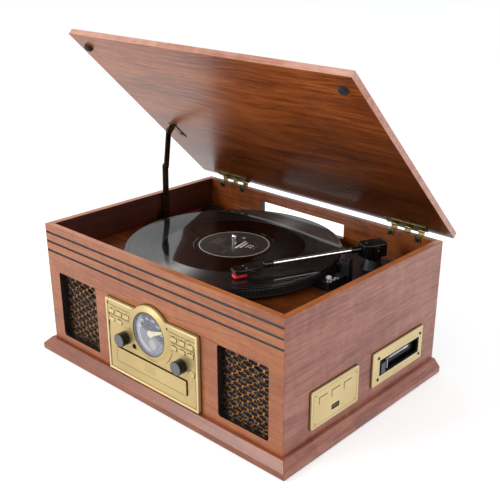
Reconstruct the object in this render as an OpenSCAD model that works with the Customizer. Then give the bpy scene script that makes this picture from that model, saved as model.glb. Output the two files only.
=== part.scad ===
// Table-top music centre: wooden cabinet with a turntable under a hinged lid, a gilt radio and disc panel
// in front, and a cassette bay and a media plate on the right. Millimetres, +Z up, front towards -Y.

/* [Cabinet] */
// Width of the cabinet walls
cab_w = 442; // [430:1:540]
// Depth of the cabinet walls
cab_d = 321; // [320:1:390]
// Height of the cabinet walls above the base
cab_h = 176; // [170:1:215]
// Thickness of the front and side panels
wall_t = 9.5; // [8:0.5:12]
// Thickness of the rear panel
back_t = 8; // [6:0.5:8]
// Drop from the rim to the turntable deck
deck_drop = 44.5; // [42:0.5:50]
// Thickness of the deck board
deck_t = 9; // [6:0.5:12]
// Thickness of the bottom board
bottom_t = 8; // [6:0.5:12]

/* [Base] */
// Height of the base mouldings
base_h = 18.5; // [16:0.5:26]
// How far the mouldings stand out from the walls
base_over = 14; // [8:0.5:20]
// Upright edge of the moulding below its slope
base_edge_h = 8.3; // [4:0.1:12]
// Flat ledge on top of the moulding
base_ledge = 4.5; // [2:0.5:7]
// How far the feet lift the base
foot_drop = 1.5; // [1:0.5:6]
// Diameter of a foot
foot_d = 18; // [12:1:22]

/* [Grooves] */
// Height of each black groove
groove_w = 3; // [2:0.5:5]
// Depth of each groove
groove_cut = 2; // [1:0.5:4]
// From the rim to the middle of the first groove
groove_top = 11.5; // [8:0.5:20]
// Spacing of the grooves
groove_pitch = 13.5; // [8:0.5:14]
// Bare wood left at each end of a groove
groove_end = 1; // [1:0.5:20]

/* [Speakers] */
// Width of a speaker opening
spk_w = 82; // [70:1:84]
// Height of a speaker opening
spk_h = 98; // [84:1:100]
// From the cabinet side to the opening
spk_side = 23; // [20:1:28]
// From the base to the opening
spk_rise = 10.5; // [8:0.5:16]
// Corner radius of the opening
spk_r = 4; // [2:0.5:8]
// Outer diameter of the speaker driver
driver_d = 78; // [60:1:80]
// Thickness of the grille sheet
grille_t = 1.2; // [0.8:0.1:2]

/* [Faceplate] */
// Width of the gilt plate
plate_w = 175; // [170:1:180]
// Height of the gilt plate
plate_h = 106; // [104:1:116]
// Thickness of the gilt plate
plate_t = 5; // [4:0.5:7]
// From the base to the plate
plate_rise = 2.5; // [1:0.5:8]
// Middle of the dial above the plate's lower edge
dial_rise = 80; // [79:0.5:84]
// Outer radius of the dial ring
ring_r = 38.5; // [36:0.5:40]
// Radius of the dial lens
lens_r = 30; // [26:0.5:31]
// How far the ring's lip stands out from the plate
ring_lip = 2.4; // [1:0.2:4]
// Radius of a knob
knob_r = 9.4; // [7:0.1:10]
// Length of a knob
knob_l = 10.5; // [10:0.5:20]
// Half of the distance between the knobs' axes
knob_x = 54.5; // [54:0.5:58]
// Middle of the knobs above the plate's lower edge
knob_rise = 57.5; // [55:0.5:59]
// Width of the disc drawer's opening
tray_w = 136; // [126:1:144]
// Height of the disc drawer's opening
tray_h = 22; // [18:0.5:24]
// Drawer's opening above the plate's lower edge
tray_rise = 17.5; // [12:0.5:19]
// Width of a function button
key_w = 10; // [8:0.5:12]
// Height of a function button
key_h = 5.6; // [4:0.2:7]
// Travel of a function button
key_travel = 0.8; // [0.4:0.1:1]

/* [Side plates] */
// Length of the media plate
media_w = 92; // [86:1:100]
// Height of the media plate
media_h = 51.5; // [50:0.5:60]
// Length of the cassette plate
tape_w = 115; // [112:1:122]
// Height of the cassette plate
tape_h = 49; // [44:0.5:60]
// Thickness of both side plates
side_t = 3.2; // [2:0.1:5]
// Length of the cassette opening
tape_open_w = 92; // [88:1:96]
// Height of the cassette opening
tape_open_h = 23.4; // [20:0.2:28]
// Side of a square media button
media_key = 15; // [10:0.5:17]

/* [Lid] */
// How far the lid overhangs each side
lid_side = 16.3; // [8:0.1:24]
// How far the lid overhangs the front
lid_front = 22.7; // [14:0.1:30]
// Thickness of the lid
lid_t = 9.1; // [7:0.1:12]
// Gap under the closed lid
lid_gap = 6; // [5.8:0.1:7]
// How far the lid stands open
lid_angle = 44.4; // [40:0.1:50]
// Diameter of a lid bumper
bumper_d = 13; // [10:0.5:18]
// Length of a hinge
hinge_len = 66; // [54:1:80]
// Outer radius of a hinge barrel
barrel_r = 2.2; // [1.8:0.1:2.2]
// Radius of a hinge pin
pin_r = 1.1; // [0.8:0.1:1.3]

/* [Lid stay] */
// Length of the lower arm between its pivots
stay_lower = 80; // [70:1:84]
// Width of the lower arm
stay_w = 11; // [8:0.5:12]
// Thickness of both arms
stay_t = 2; // [1.5:0.1:2.5]

/* [Turntable] */
// Radius of the record
record_r = 150.5; // [125:0.5:150.5]
// Thickness of the record
record_t = 1.8; // [1.2:0.1:2.4]
// Radius of the platter
platter_r = 146.5; // [110:0.5:147]
// Height of the platter
platter_h = 15; // [12:0.5:18]
// Radius of the spindle
spindle_r = 3.5; // [3:0.1:3.55]
// How far the spindle stands above the record
spindle_up = 14.5; // [6:0.5:16]
// Outer radius of the tonearm tube
tube_r = 2.7; // [2:0.1:4]
// From the tonearm's pivot to the end of its tube
tube_len = 159; // [140:1:160]
// Height of the tonearm tube above the record
tube_up = 11; // [10.8:0.1:12]

/* [Hidden] */
$fn = 64;

wood = [0.68, 0.42, 0.32];
inner_wood = [0.40, 0.17, 0.08];
gilt = [0.85, 0.76, 0.50];
old_brass = [0.28, 0.23, 0.15];
black = [0.05, 0.05, 0.06];
steel = [0.78, 0.78, 0.80];

eps = 0.01;
joint_gap = 0.1;
fit_gap = 0.3;
run_gap = 0.05;

y_front = -cab_d / 2;
y_back = cab_d / 2;
x_side = cab_w / 2;
x_in = x_side - wall_t;
y_in_front = y_front + wall_t;
y_in_back = y_back - back_t;
z_base = foot_drop + base_h;
z_rim = z_base + cab_h;
z_deck = z_rim - deck_drop;
z_floor = foot_drop + bottom_t;
foot_in = 26;

spk_x = x_side - spk_side - spk_w / 2;
spk_z = z_base + spk_rise + spk_h / 2;
mesh_row = 5.7;
mesh_step = 17;
mesh_slot_w = 12;
mesh_slot_h = 3;

plate_z = z_base + plate_rise;
y_plate = y_front - plate_t;
dial_z = plate_z + dial_rise;
knob_z = plate_z + knob_rise;
tray_z = plate_z + tray_rise + tray_h / 2;
knob_gap = 1;
knob_shift = 4.7;
knob_edge = 0.8;
knob_shaft_r = 3;
face_cut_w = plate_w - 20;
face_cut_h = plate_h - 16;
face_r = 2;
drawer_rim = 3;
tray_out = 2;
tray_front_t = 5;
y_tray = y_plate - tray_out;
tray_gap = 0.8;
tray_len = 146;
tray_floor_t = 2;
tray_side_gap = 2;
disc_r = 60.5;
y_disc = y_tray + tray_front_t + disc_r + 6;
hub_slot_r = 17;
tray_body_h = 7;
tray_low = tray_z - 8;
mech_t = 1.5;
mech_gap = 0.5;
mech_h = 22;
eject_r = 5.2;
eject_x = 76.5;
eject_z = plate_z + 51.5;
jack_r = 2.8;
jack_x = -32.4;
jack_z = plate_z + 51;
dial_t = 1.5;
dial_up = 3.8;
y_dial = y_front - dial_up;
dial_seat = 2;
pointer_turn = 22;
pointer_l = 25;
pointer_shaft_r = 1.9;
key_row_z = [plate_z + 88.5, plate_z + 76.5];
key_col_x = [45.5, 60.5, 75.5];
key_gap = 0.3;
key_r = 1.9;
key_out = 0.9;
key_depth = plate_t - key_travel - 0.2;

media_y = -68.7;
media_z = z_base + 39.5;
media_r = 3;
media_pitch = 24;
media_key_h = 9;
media_key_z = media_z + 9;
media_key_out = 0.7;
usb_w = 14;
usb_h = 6;
usb_z = media_z - 10.7;
usb_depth = 14;
tape_y = 65.5;
tape_z = z_base + 41.5;
tape_r = 1;
tape_open_y = tape_y + 2.6;
tape_open_z = tape_z - 1;
tape_key_w = 15;
tape_key_y = [3.8, 12.8];
tape_key_z = [-10, 5.5];
bay_t = 1.5;
bay_cut_w = tape_open_w + 2 * bay_t + 2 * joint_gap;
bay_cut_h = tape_open_h + 2 * bay_t + 2 * joint_gap;
key_y0 = tape_open_y - tape_open_w / 2;
bay_y0 = key_y0 + tape_key_w + 4;
bay_y1 = key_y0 + tape_open_w - 1;
bay_x0 = x_side - 110;
bay_low = tape_open_z - tape_open_h / 2;
bay_high = tape_open_z + tape_open_h / 2;
key_bay_depth = 18;
tape_hub_x = x_side - 56;
tape_hub_pitch = 42.5;
flap_t = 1.6;
flap_gap = 0.6;
flap_barrel_r = 1.2;
x_flap = x_side - 2;
flap_z = bay_high - flap_barrel_r - fit_gap;

lid_z = z_rim + lid_gap;
hinge_y = y_back + 0.4;
hinge_z = lid_z - 0.4;
lid_y_back = hinge_y - barrel_r - fit_gap;
lid_w = cab_w + 2 * lid_side;
lid_y_front = y_front - lid_front;
hinge_x = 165;
leaf_t = 1.2;
leaf_d = 12;
tab_w = 9;
tab_pitch = 22;
tab_drop = 9;
lid_knuckle_w = tab_pitch - tab_w - 2 * fit_gap;
bumper_y = y_front + 1;

stay_x = -x_in + 5;
stay_step = 0.5;
stay_pin_r = 2;
wall_pivot = [y_back - 113.5, z_deck + 7];
lid_pivot_t = 136;
lid_pivot_h = 8;
stay_upper_w = 9.5;
stay_outer_x = stay_x + stay_t / 2 + stay_step;
stay_ear_x = stay_outer_x + stay_t + stay_step;
stay_ear_r = 5;
rivet_r = 3.2;
rivet_t = 1;
screw_head_r = 2.6;
screw_r = 1.5;

// Lid pivot with the lid turned up by an angle, in the YZ plane
function lid_pivot(angle) = let (y = lid_y_back - lid_pivot_t - hinge_y, z = lid_z - lid_pivot_h - hinge_z)
    [hinge_y + y * cos(angle) + z * sin(angle), hinge_z - y * sin(angle) + z * cos(angle)];
stay_top = lid_pivot(lid_angle);
stay_span = norm(stay_top - wall_pivot);
stay_upper = stay_span - stay_lower + 0.2;
stay_rise = atan2(stay_top[1] - wall_pivot[1], stay_top[0] - wall_pivot[0]);
stay_bend = acos((stay_lower ^ 2 + stay_span ^ 2 - stay_upper ^ 2) / (2 * stay_lower * stay_span));
elbow = wall_pivot + stay_lower * [cos(stay_rise + stay_bend), sin(stay_rise + stay_bend)];

spindle_x = -16.3;
spindle_y = 4.6;
z_platter = z_deck + 4.4;
z_record = z_platter + platter_h;
z_record_top = z_record + record_t;
chassis_t = 3;
z_chassis = z_deck + chassis_t;
boss_r = 8;
boss_top = z_deck + 9;
label_r = 50.3;
label_rim = 6;
edge_bead = 3;
groove_depth = 0.15;
drive_ring_r = 66;
drive_ring_t = 3;
drive_ring_h = 8;
adapter_x = -x_in + 25.5;
adapter_y = y_in_back - 24.5;
motor_dist = 96;
motor_turn = 200;
motor_r = 16;
pulley_r = 5;
belt_t = 0.8;
belt_h = 4;
motor_shaft_r = 1.2;
platter_top_t = 3;
platter_skirt = 4;
motor_x = spindle_x + motor_dist * cos(motor_turn);
motor_y = spindle_y + motor_dist * sin(motor_turn);
z_belt = z_platter + platter_h - platter_top_t - drive_ring_h + 1.5;

chassis_x1 = 178;
chassis_y0 = 4;
chassis_y1 = 140;
arm_x = 147;
arm_y = 104;
arm_turn = 245.7;
z_tube = z_record_top + tube_up;
dome_h = 14;
dome_r = 16;
dome_top_r = 10;
yoke_r = 9;
yoke_z = z_chassis + dome_h + fit_gap;
yoke_shaft_r = 4;
yoke_t = 2;
yoke_w = 10;
housing_l = 36;
housing_w = 24;
housing_h = 15;
fork_t = 3;
lift_pin_r = 1.6;
head_l = 45;
head_w = 19;
head_up = 2.1;
head_h = 4;
head_bend = 7;
cartridge_l = 24;
cartridge_w = 14;
cartridge_h = 3;
guard_l = 17;
guard_w = 11;
guard_h = 3.6;
rest_x = 147;
rest_y = 44;
lever_y = 58;
lever_x = 131;
lever_z = z_chassis + 6;
lever_pin_r = 1.55;
switch_x = 141.5;
switch_y = 22;
switch_w = 20;
switch_l = 35;
switch_h = 9;
switch_slot = 6;

jack_out = 7;
terminal_t = 1.5;
terminal_w = 90;
terminal_h = 44;
terminal_x = 110;
terminal_z = z_base + 34;
socket_r = 4.1;
socket_bore_r = 1.7;
socket_pitch = 16;
inlet_w = 18;
inlet_h = 10;
inlet_depth = 16;
board_x0 = -190;
board_x1 = -80;
board_y0 = 20;
board_y1 = 120;
board_t = 1.6;
board_lift = 6;
slot_w = 162;
slot_low = 8;
slot_high = 30;

// Middle of the whole object from front to back becomes y = 0
lid_top_back = hinge_y + (lid_y_back - hinge_y) * cos(lid_angle)
    + (lid_z + lid_t - hinge_z) * sin(lid_angle);
front_reach = -y_plate + knob_gap + knob_l;
back_reach = max(lid_top_back, y_back + terminal_t + jack_out);
frame_dy = (front_reach - back_reach) / 2;

// Place of each signal socket across the back
function socket_x(i) = terminal_x - 30 + i * socket_pitch;

module placed() {
    translate([0, frame_dy, 0]) children();
}

// Cuboid from its lowest corner to its highest
module block(low, high) {
    translate(low) cube(high - low);
}

// Plate with round corners, w by h, centred, in the XY plane
module round_rect(w, h, r) {
    square([w - 2 * r, h], center = true);
    square([w, h - 2 * r], center = true);
    for (sx = [-1, 1], sy = [-1, 1])
        translate([sx * (w / 2 - r), sy * (h / 2 - r)]) circle(r);
}

// Stands a drawing up on the front, facing -Y, from depth y0 to y1
module front_solid(x, z, y0, y1) {
    translate([x, y1, z]) rotate([90, 0, 0]) linear_extrude(y1 - y0) children();
}

// Stands a drawing up on the right side, facing +X, from x0 to x1
module side_solid(y, z, x0, x1) {
    translate([x0, y, z]) rotate([90, 0, 90]) linear_extrude(x1 - x0) children();
}

// Rod along X from x0 to x1
module rod_x(x0, x1, y, z, r) {
    translate([x0, y, z]) rotate([0, 90, 0]) cylinder(r = r, h = x1 - x0);
}

// Rod along Y from y0 to y1
module rod_y(y0, y1, x, z, r) {
    translate([x, y0, z]) rotate([-90, 0, 0]) cylinder(r = r, h = y1 - y0);
}

// Places a lid piece, drawn closed, on the open lid
module on_lid() {
    translate([0, hinge_y, hinge_z]) rotate([-lid_angle, 0, 0])
        translate([0, -hinge_y, -hinge_z]) children();
}

// Cabinet

module groove_cuts() {
    for (i = [0 : 2])
        translate([0, 0, z_rim - groove_top - i * groove_pitch])
            block([-x_side + groove_end, y_front - 1, -groove_w / 2],
                [x_side - groove_end, y_front + groove_cut, groove_w / 2]);
}

module front_panel() {
    color(wood) difference() {
        translate([0, 0, z_base]) linear_extrude(cab_h)
            polygon([[-x_side, y_front], [x_side, y_front], [x_in, y_in_front], [-x_in, y_in_front]]);
        groove_cuts();
        for (s = [-1, 1])
            front_solid(s * spk_x, spk_z, y_front - 1, y_in_front + 1) round_rect(spk_w, spk_h, spk_r);
        front_solid(0, plate_z + plate_h / 2, y_front - 1, y_in_front + 1)
            square([face_cut_w, face_cut_h], true);
        rod_y(y_front - 1, y_in_front + 1, 0, dial_z, lens_r + dial_seat + 1);
    }
}

module side_panel(s) {
    translate([0, 0, z_base]) linear_extrude(cab_h)
        polygon([[s * x_side, y_front], [s * x_in, y_in_front], [s * x_in, y_back], [s * x_side, y_back]]);
}

module left_panel() {
    color(wood) side_panel(-1);
}

module right_panel() {
    color(wood) difference() {
        side_panel(1);
        side_solid(media_y, media_z, x_in - 1, x_side + 1) square([media_w - 16, media_h - 14], true);
        side_solid(tape_open_y, tape_open_z, x_in - 1, x_side + 1)
            square([bay_cut_w, bay_cut_h], true);
    }
}

module rear_panel() {
    color(inner_wood) difference() {
        block([-x_in, y_in_back, foot_drop], [x_in, y_back, z_rim]);
        front_solid(spindle_x - 3, z_deck + (slot_low + slot_high) / 2, y_in_back - 1, y_back + 1)
            square([slot_w, slot_high - slot_low], true);
        front_solid(terminal_x, terminal_z, y_in_back - 1, y_back + 1)
            square([terminal_w - 14, terminal_h - 14], true);
    }
}

module deck_board() {
    color(inner_wood) difference() {
        block([-x_in + joint_gap, y_in_front + joint_gap, z_deck - deck_t],
            [x_in - joint_gap, y_in_back - joint_gap, z_deck]);
        translate([spindle_x, spindle_y, z_deck - deck_t - 1]) cylinder(r = boss_r + fit_gap, h = deck_t + 2);
        translate([motor_x, motor_y, z_deck - deck_t - 1]) cylinder(r = motor_r + fit_gap, h = deck_t + 2);
    }
}

module bottom_board() {
    color(inner_wood)
        block([-x_in + joint_gap, y_in_front + joint_gap, foot_drop],
            [x_in - joint_gap, y_in_back - joint_gap, z_floor]);
}

// Moulding outline: distance out from the wall, then height
module moulding_shape() {
    polygon([[-wall_t, foot_drop], [base_over, foot_drop], [base_over, foot_drop + base_edge_h],
        [base_ledge, z_base], [-wall_t, z_base]]);
}

module side_moulding(s) {
    intersection() {
        translate([s * x_side, y_back, 0]) mirror([s < 0 ? 1 : 0, 0, 0])
            rotate([90, 0, 0]) linear_extrude(cab_d + base_over) moulding_shape();
        linear_extrude(z_base + 1)
            polygon([[s * x_in, y_back], [s * (x_side + base_over), y_back],
                [s * (x_side + base_over), y_front - base_over + joint_gap],
                [s * x_in, y_in_front + joint_gap]]);
    }
}

module front_moulding() {
    intersection() {
        translate([-x_side - base_over, y_front, 0]) rotate([90, 0, 90])
            linear_extrude(cab_w + 2 * base_over) mirror([1, 0]) moulding_shape();
        linear_extrude(z_base + 1)
            polygon([[-x_side - base_over, y_front - base_over], [x_side + base_over, y_front - base_over],
                [x_in, y_in_front], [-x_in, y_in_front]]);
    }
}

module base_mouldings() {
    color(wood) {
        front_moulding();
        for (s = [-1, 1]) side_moulding(s);
    }
}

module feet() {
    color(black) for (sx = [-1, 1], sy = [-1, 1])
        translate([sx * (x_side - foot_in), sy * (cab_d / 2 - foot_in), 0])
            cylinder(d = foot_d, h = foot_drop);
}

// Lid, hinges and stay

module lid() {
    color(wood) on_lid()
        block([-lid_w / 2, lid_y_front, lid_z], [lid_w / 2, lid_y_back, lid_z + lid_t]);
}

module lid_bumpers() {
    color(black) on_lid() for (s = [-1, 1])
        translate([s * (x_side - wall_t / 2), bumper_y, lid_z - lid_gap + fit_gap])
            cylinder(d = bumper_d, h = lid_gap - fit_gap);
}

module lid_leaf() {
    block([-hinge_len / 2, lid_y_back - leaf_d, lid_z - leaf_t], [hinge_len / 2, lid_y_back, lid_z]);
    for (s = [-1, 1]) difference() {
        translate([s * tab_pitch / 2, 0, 0]) union() {
            block([-lid_knuckle_w / 2, lid_y_back - leaf_d, lid_z - leaf_t],
                [lid_knuckle_w / 2, hinge_y, lid_z]);
            rod_x(-lid_knuckle_w / 2, lid_knuckle_w / 2, hinge_y, hinge_z, barrel_r);
        }
        rod_x(-hinge_len, hinge_len, hinge_y, hinge_z, pin_r + run_gap);
    }
}

module stay_lid_bracket() {
    y = lid_y_back - lid_pivot_t;
    block([stay_ear_x, y - 9, lid_z - leaf_t], [stay_ear_x + 12, y + 25, lid_z]);
    block([stay_ear_x, y - stay_ear_r, lid_z - lid_pivot_h], [stay_ear_x + stay_t, y + stay_ear_r, lid_z]);
    rod_x(stay_ear_x, stay_ear_x + stay_t, y, lid_z - lid_pivot_h, stay_ear_r);
    translate([stay_ear_x + 7, y + 18, lid_z - leaf_t - 1]) cylinder(r = screw_head_r, h = 1 + eps);
    rod_x(stay_outer_x - fit_gap / 2, stay_ear_x + eps, y, lid_z - lid_pivot_h, stay_pin_r);
}

module lid_fittings() {
    color(old_brass) on_lid() {
        for (s = [-1, 1]) translate([s * hinge_x, 0, 0]) lid_leaf();
        stay_lid_bracket();
    }
}

module wall_leaf() {
    for (i = [-1 : 1]) translate([i * tab_pitch, 0, 0]) {
        block([-tab_w / 2, y_in_back - leaf_t, z_rim], [tab_w / 2, hinge_y + leaf_t / 2, z_rim + leaf_t]);
        block([-tab_w / 2, hinge_y - leaf_t / 2, z_rim], [tab_w / 2, hinge_y + leaf_t / 2, hinge_z]);
        rod_x(-tab_w / 2, tab_w / 2, hinge_y, hinge_z, barrel_r);
    }
    for (i = [-1, 1]) translate([i * tab_pitch, 0, 0]) difference() {
        block([-tab_w / 2, y_in_back - leaf_t, z_rim - tab_drop], [tab_w / 2, y_in_back, z_rim + leaf_t]);
        rod_y(y_in_back - leaf_t - 1, y_in_back + 1, 0, z_rim - tab_drop / 2, screw_r + joint_gap);
    }
    rod_x(-tab_pitch - tab_w / 2, tab_pitch + tab_w / 2, hinge_y, hinge_z, pin_r);
}

module hinge_wall_leaves() {
    color(old_brass) for (s = [-1, 1]) translate([s * hinge_x, 0, 0]) wall_leaf();
}

// Countersunk screw along -Y, head at y0
module screw_into_back(x, z, y0) {
    rod_y(y0 - 1, y0, x, z, screw_head_r);
    rod_y(y0 - eps, y0 + leaf_t, x, z, screw_r);
}

// Screw through a side plate, head outside
module side_screw(y, z) {
    rod_x(x_side + side_t, x_side + side_t + 0.8, y, z, 2.2);
}

module wall_screws() {
    color(black) {
        for (s = [-1, 1], i = [-1, 1])
            screw_into_back(s * hinge_x + i * tab_pitch, z_rim - tab_drop / 2, y_in_back - leaf_t);
        for (sy = [-1, 1], sz = [-1, 1]) {
            side_screw(tape_open_y + sy * (tape_open_w / 2 + 2.2),
                tape_open_z + sz * (tape_open_h / 2 + 3.8));
            side_screw(media_y + sy * (media_w / 2 - 7), media_z + sz * (media_h / 2 - 7));
        }
        rod_x(-x_in + leaf_t, -x_in + leaf_t + 1, wall_pivot[0] - 10, wall_pivot[1] + 2, screw_head_r);
    }
}

// Flat bar with round ends between two points in the YZ plane, holes at both
module stay_bar(x0, p, q, w) {
    d = q - p;
    length = norm(d);
    translate([x0, p[0], p[1]]) rotate([atan2(d[1], d[0]), 0, 0]) difference() {
        union() {
            block([0, 0, -w / 2], [stay_t, length, w / 2]);
            rod_x(0, stay_t, 0, 0, w / 2);
            rod_x(0, stay_t, length, 0, w / 2);
        }
        for (y = [0, length]) rod_x(-1, stay_t + 1, y, 0, stay_pin_r + run_gap);
    }
}

module stay_wall_bracket() {
    color(old_brass) {
        block([-x_in, wall_pivot[0] - 14, wall_pivot[1] - 5.5],
            [-x_in + leaf_t, wall_pivot[0] + 8, wall_pivot[1] + 9]);
        rod_x(-x_in + leaf_t - eps, stay_x - stay_t / 2 - fit_gap, wall_pivot[0], wall_pivot[1], 4);
        rod_x(-x_in + leaf_t - eps, stay_x + stay_t / 2 + fit_gap, wall_pivot[0], wall_pivot[1], stay_pin_r);
    }
}

module stay_lower_arm() {
    color(old_brass) {
        stay_bar(stay_x - stay_t / 2, wall_pivot, elbow, stay_w);
        rod_x(stay_x - stay_t / 2 - rivet_t, stay_x - stay_t / 2, elbow[0], elbow[1], rivet_r);
    }
}

module stay_upper_arm() {
    color(old_brass) {
        stay_bar(stay_outer_x, elbow, stay_top, stay_upper_w);
        rod_x(stay_outer_x + stay_t, stay_outer_x + stay_t + rivet_t, elbow[0], elbow[1], rivet_r);
    }
}

// Speakers

module grille_sheet() {
    difference() {
        square([spk_w + 8, spk_h + 6], true);
        for (r = [-8 : 8], c = [-2 : 2]) let (x = (c + (r % 2 == 0 ? 0 : 0.5)) * mesh_step)
            if (abs(x) < spk_w / 2 - 4) translate([x, r * mesh_row]) square([mesh_slot_w, mesh_slot_h], true);
    }
}

module speaker_grilles() {
    color([0.45, 0.33, 0.18]) for (s = [-1, 1])
        front_solid(s * spk_x, spk_z, y_in_front, y_in_front + grille_t) grille_sheet();
}

module driver() {
    r = driver_d / 2;
    rotate([-90, 0, 0]) {
        difference() {
            union() {
                cylinder(r = r, h = 3);
                translate([0, 0, 3]) cylinder(r1 = r - 5, r2 = 18, h = 16);
                translate([0, 0, 19]) cylinder(r = 24, h = 12);
            }
            translate([0, 0, -1]) cylinder(r = r - 6, h = 3);
            translate([0, 0, 2]) cylinder(r1 = r - 7, r2 = 12, h = 14);
        }
        translate([0, 0, 15.9]) cylinder(r1 = 12, r2 = 4, h = 0.1);
    }
}

module speakers() {
    color(black) for (s = [-1, 1]) translate([s * spk_x, y_in_front + grille_t, spk_z]) driver();
}

// Front plate, dial, knobs and drawer

module key_holes(grow) {
    for (s = [-1, 1], c = [0 : 2], r = [0, 1]) if (!(s < 0 && r == 1 && c == 0))
        translate([s * key_col_x[c], key_row_z[r] - plate_z])
            round_rect(key_w + 2 * grow, key_h + 2 * grow, key_r + grow);
}

module faceplate() {
    color(gilt) difference() {
        union() {
            front_solid(0, plate_z + plate_h / 2, y_plate, y_front) round_rect(plate_w, plate_h, face_r);
            rod_y(y_plate, y_front, 0, dial_z, ring_r);
            translate([0, y_plate, dial_z]) rotate([90, 0, 0])
                cylinder(r1 = ring_r - 1, r2 = lens_r + 2, h = ring_lip);
            front_solid(0, tray_z, y_front, y_front + drawer_rim) difference() {
                square([tray_w + 2 * drawer_rim, tray_h + 2 * drawer_rim], true);
                square([tray_w, tray_h], true);
            }
        }
        rod_y(y_plate - ring_lip - 1, y_front + 4, 0, dial_z, lens_r);
        front_solid(0, tray_z, y_plate - 1, y_front + 4) square([tray_w, tray_h], true);
        front_solid(0, plate_z, y_plate - 1, y_front + 4) key_holes(key_gap);
        rod_y(y_plate - 1, y_front + 4, eject_x, eject_z, eject_r + key_gap);
        rod_y(y_plate - 1, y_front + 4, jack_x, jack_z, jack_r);
        for (s = [-1, 1]) rod_y(y_plate - 1, y_front + 4, s * knob_x + knob_shift, knob_z, knob_shaft_r + run_gap);
    }
}

module dial_scale() {
    color([0.62, 0.62, 0.66]) difference() {
        union() {
            rod_y(y_front, y_front + dial_t, 0, dial_z, lens_r + dial_seat);
            rod_y(y_dial, y_front + eps, 0, dial_z, lens_r - joint_gap);
        }
        rod_y(y_dial - 1, y_front + dial_t + 1, 0, dial_z, pointer_shaft_r + run_gap);
    }
}

module dial_lens() {
    color([0.8, 0.85, 0.9, 0.4])
        rod_y(y_plate - ring_lip + 1, y_plate - ring_lip + 2.2, 0, dial_z, lens_r - joint_gap);
}

module dial_pointer() {
    color([0.9, 0.86, 0.74]) {
        rod_y(y_dial - 1.1, y_dial - 0.3, 0, dial_z, 5);
        rod_y(y_dial - 0.5, y_front + dial_t + 3, 0, dial_z, pointer_shaft_r);
        translate([0, y_dial - 0.3, dial_z]) rotate([90, 0, 0]) linear_extrude(0.8) rotate(pointer_turn)
            polygon([[0, -4], [pointer_l, -1.2], [pointer_l, 1.2], [0, 4]]);
    }
}

module knob(x) {
    y0 = y_plate - knob_gap - knob_l;
    rod_y(y0 + knob_edge, y_plate - knob_gap, x, knob_z, knob_r);
    translate([x, y0 + knob_edge, knob_z]) rotate([90, 0, 0])
        cylinder(r1 = knob_r, r2 = knob_r - knob_edge, h = knob_edge);
    rod_y(y_plate - knob_gap - eps, y_front + drawer_rim, x, knob_z, knob_shaft_r);
}

module tuning_knob() {
    color(black) knob(knob_shift + knob_x);
}

module volume_knob() {
    color(black) knob(knob_shift - knob_x);
}

module cd_tray() {
    color(gilt) difference() {
        union() {
            front_solid(0, tray_z, y_tray, y_tray + tray_front_t)
                square([tray_w - 2 * tray_gap, tray_h - 2 * tray_gap], true);
            block([-tray_w / 2 + tray_side_gap, y_tray + tray_front_t - eps, tray_low],
                [tray_w / 2 - tray_side_gap, y_tray + tray_len, tray_low + tray_body_h]);
        }
        translate([0, y_disc, tray_low + tray_floor_t]) cylinder(r = disc_r, h = 20);
        translate([0, y_disc, tray_low - 1]) cylinder(r = hub_slot_r, h = 20);
        block([-hub_slot_r, y_disc, tray_low - 1], [hub_slot_r, y_tray + tray_len + 1, tray_z]);
    }
}

module cd_mechanism() {
    w = tray_w / 2 - tray_side_gap + mech_gap;
    y0 = y_front + drawer_rim + fit_gap;
    y1 = y_tray + tray_len + 8;
    low = tray_low - mech_gap;
    color([0.3, 0.3, 0.32]) {
        difference() {
            block([-w - mech_t, y0, low - mech_t], [w + mech_t, y1, low + mech_h]);
            block([-w, y0 - 1, low], [w, y1 - mech_t, low + mech_h - mech_t]);
        }
        translate([0, y_disc, low - eps]) cylinder(r = hub_slot_r - 4, h = 4);
        for (s = [-1, 1])
            block([s * 60 - 3, y0 + 20, z_floor], [s * 60 + 3, y0 + 26, low - mech_t + eps]);
    }
}

module key_cap(x, z) {
    front_solid(x, z, y_plate - key_out, y_plate + key_depth) round_rect(key_w, key_h, key_r);
}

module function_key(s, i) {
    color(gilt) key_cap(s * key_col_x[i % 3], key_row_z[floor(i / 3)]);
}

module eject_button() {
    color(gilt) rod_y(y_plate - key_out, y_plate + key_depth, eject_x, eject_z, eject_r);
}

// Side plates and cassette bay

module media_plate() {
    color(gilt) difference() {
        side_solid(media_y, media_z, x_side, x_side + side_t) round_rect(media_w, media_h, media_r);
        for (i = [-1 : 1])
            side_solid(media_y + i * media_pitch, media_key_z, x_side - 1, x_side + side_t + 1)
                square([media_key + 2 * key_gap, media_key_h + 2 * key_gap], true);
        side_solid(media_y, usb_z, x_side - 1, x_side + side_t + 1) square([usb_w, usb_h], true);
    }
    color(steel) difference() {
        side_solid(media_y, usb_z, x_side - usb_depth, x_side - joint_gap)
            square([usb_w + 1, usb_h + 1], true);
        side_solid(media_y, usb_z, x_side - usb_depth + 1, x_side + 1) square([usb_w, usb_h], true);
    }
    color(black) side_solid(media_y, usb_z + 1.2, x_side - usb_depth + 1 - eps, x_side + 1)
        square([usb_w - 3, 1.8], true);
}

module media_button(i) {
    color(gilt)
        side_solid(media_y + (i - 1) * media_pitch, media_key_z, x_side - 3, x_side + side_t + media_key_out)
            square([media_key, media_key_h], true);
}

module cassette_plate() {
    color(gilt) difference() {
        side_solid(tape_y, tape_z, x_side, x_side + side_t) round_rect(tape_w, tape_h, tape_r);
        side_solid(tape_open_y, tape_open_z, x_side - 1, x_side + side_t + 1)
            round_rect(tape_open_w, tape_open_h, 2);
    }
}

module cassette_flap() {
    color([0.12, 0.12, 0.14]) {
        block([x_flap - flap_t, bay_y0 + flap_gap, bay_low + flap_gap],
            [x_flap, bay_y1 - flap_gap, flap_z]);
        rod_y(bay_y0 + flap_gap, bay_y1 - flap_gap, x_flap - flap_t / 2, flap_z, flap_barrel_r);
    }
}

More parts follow.
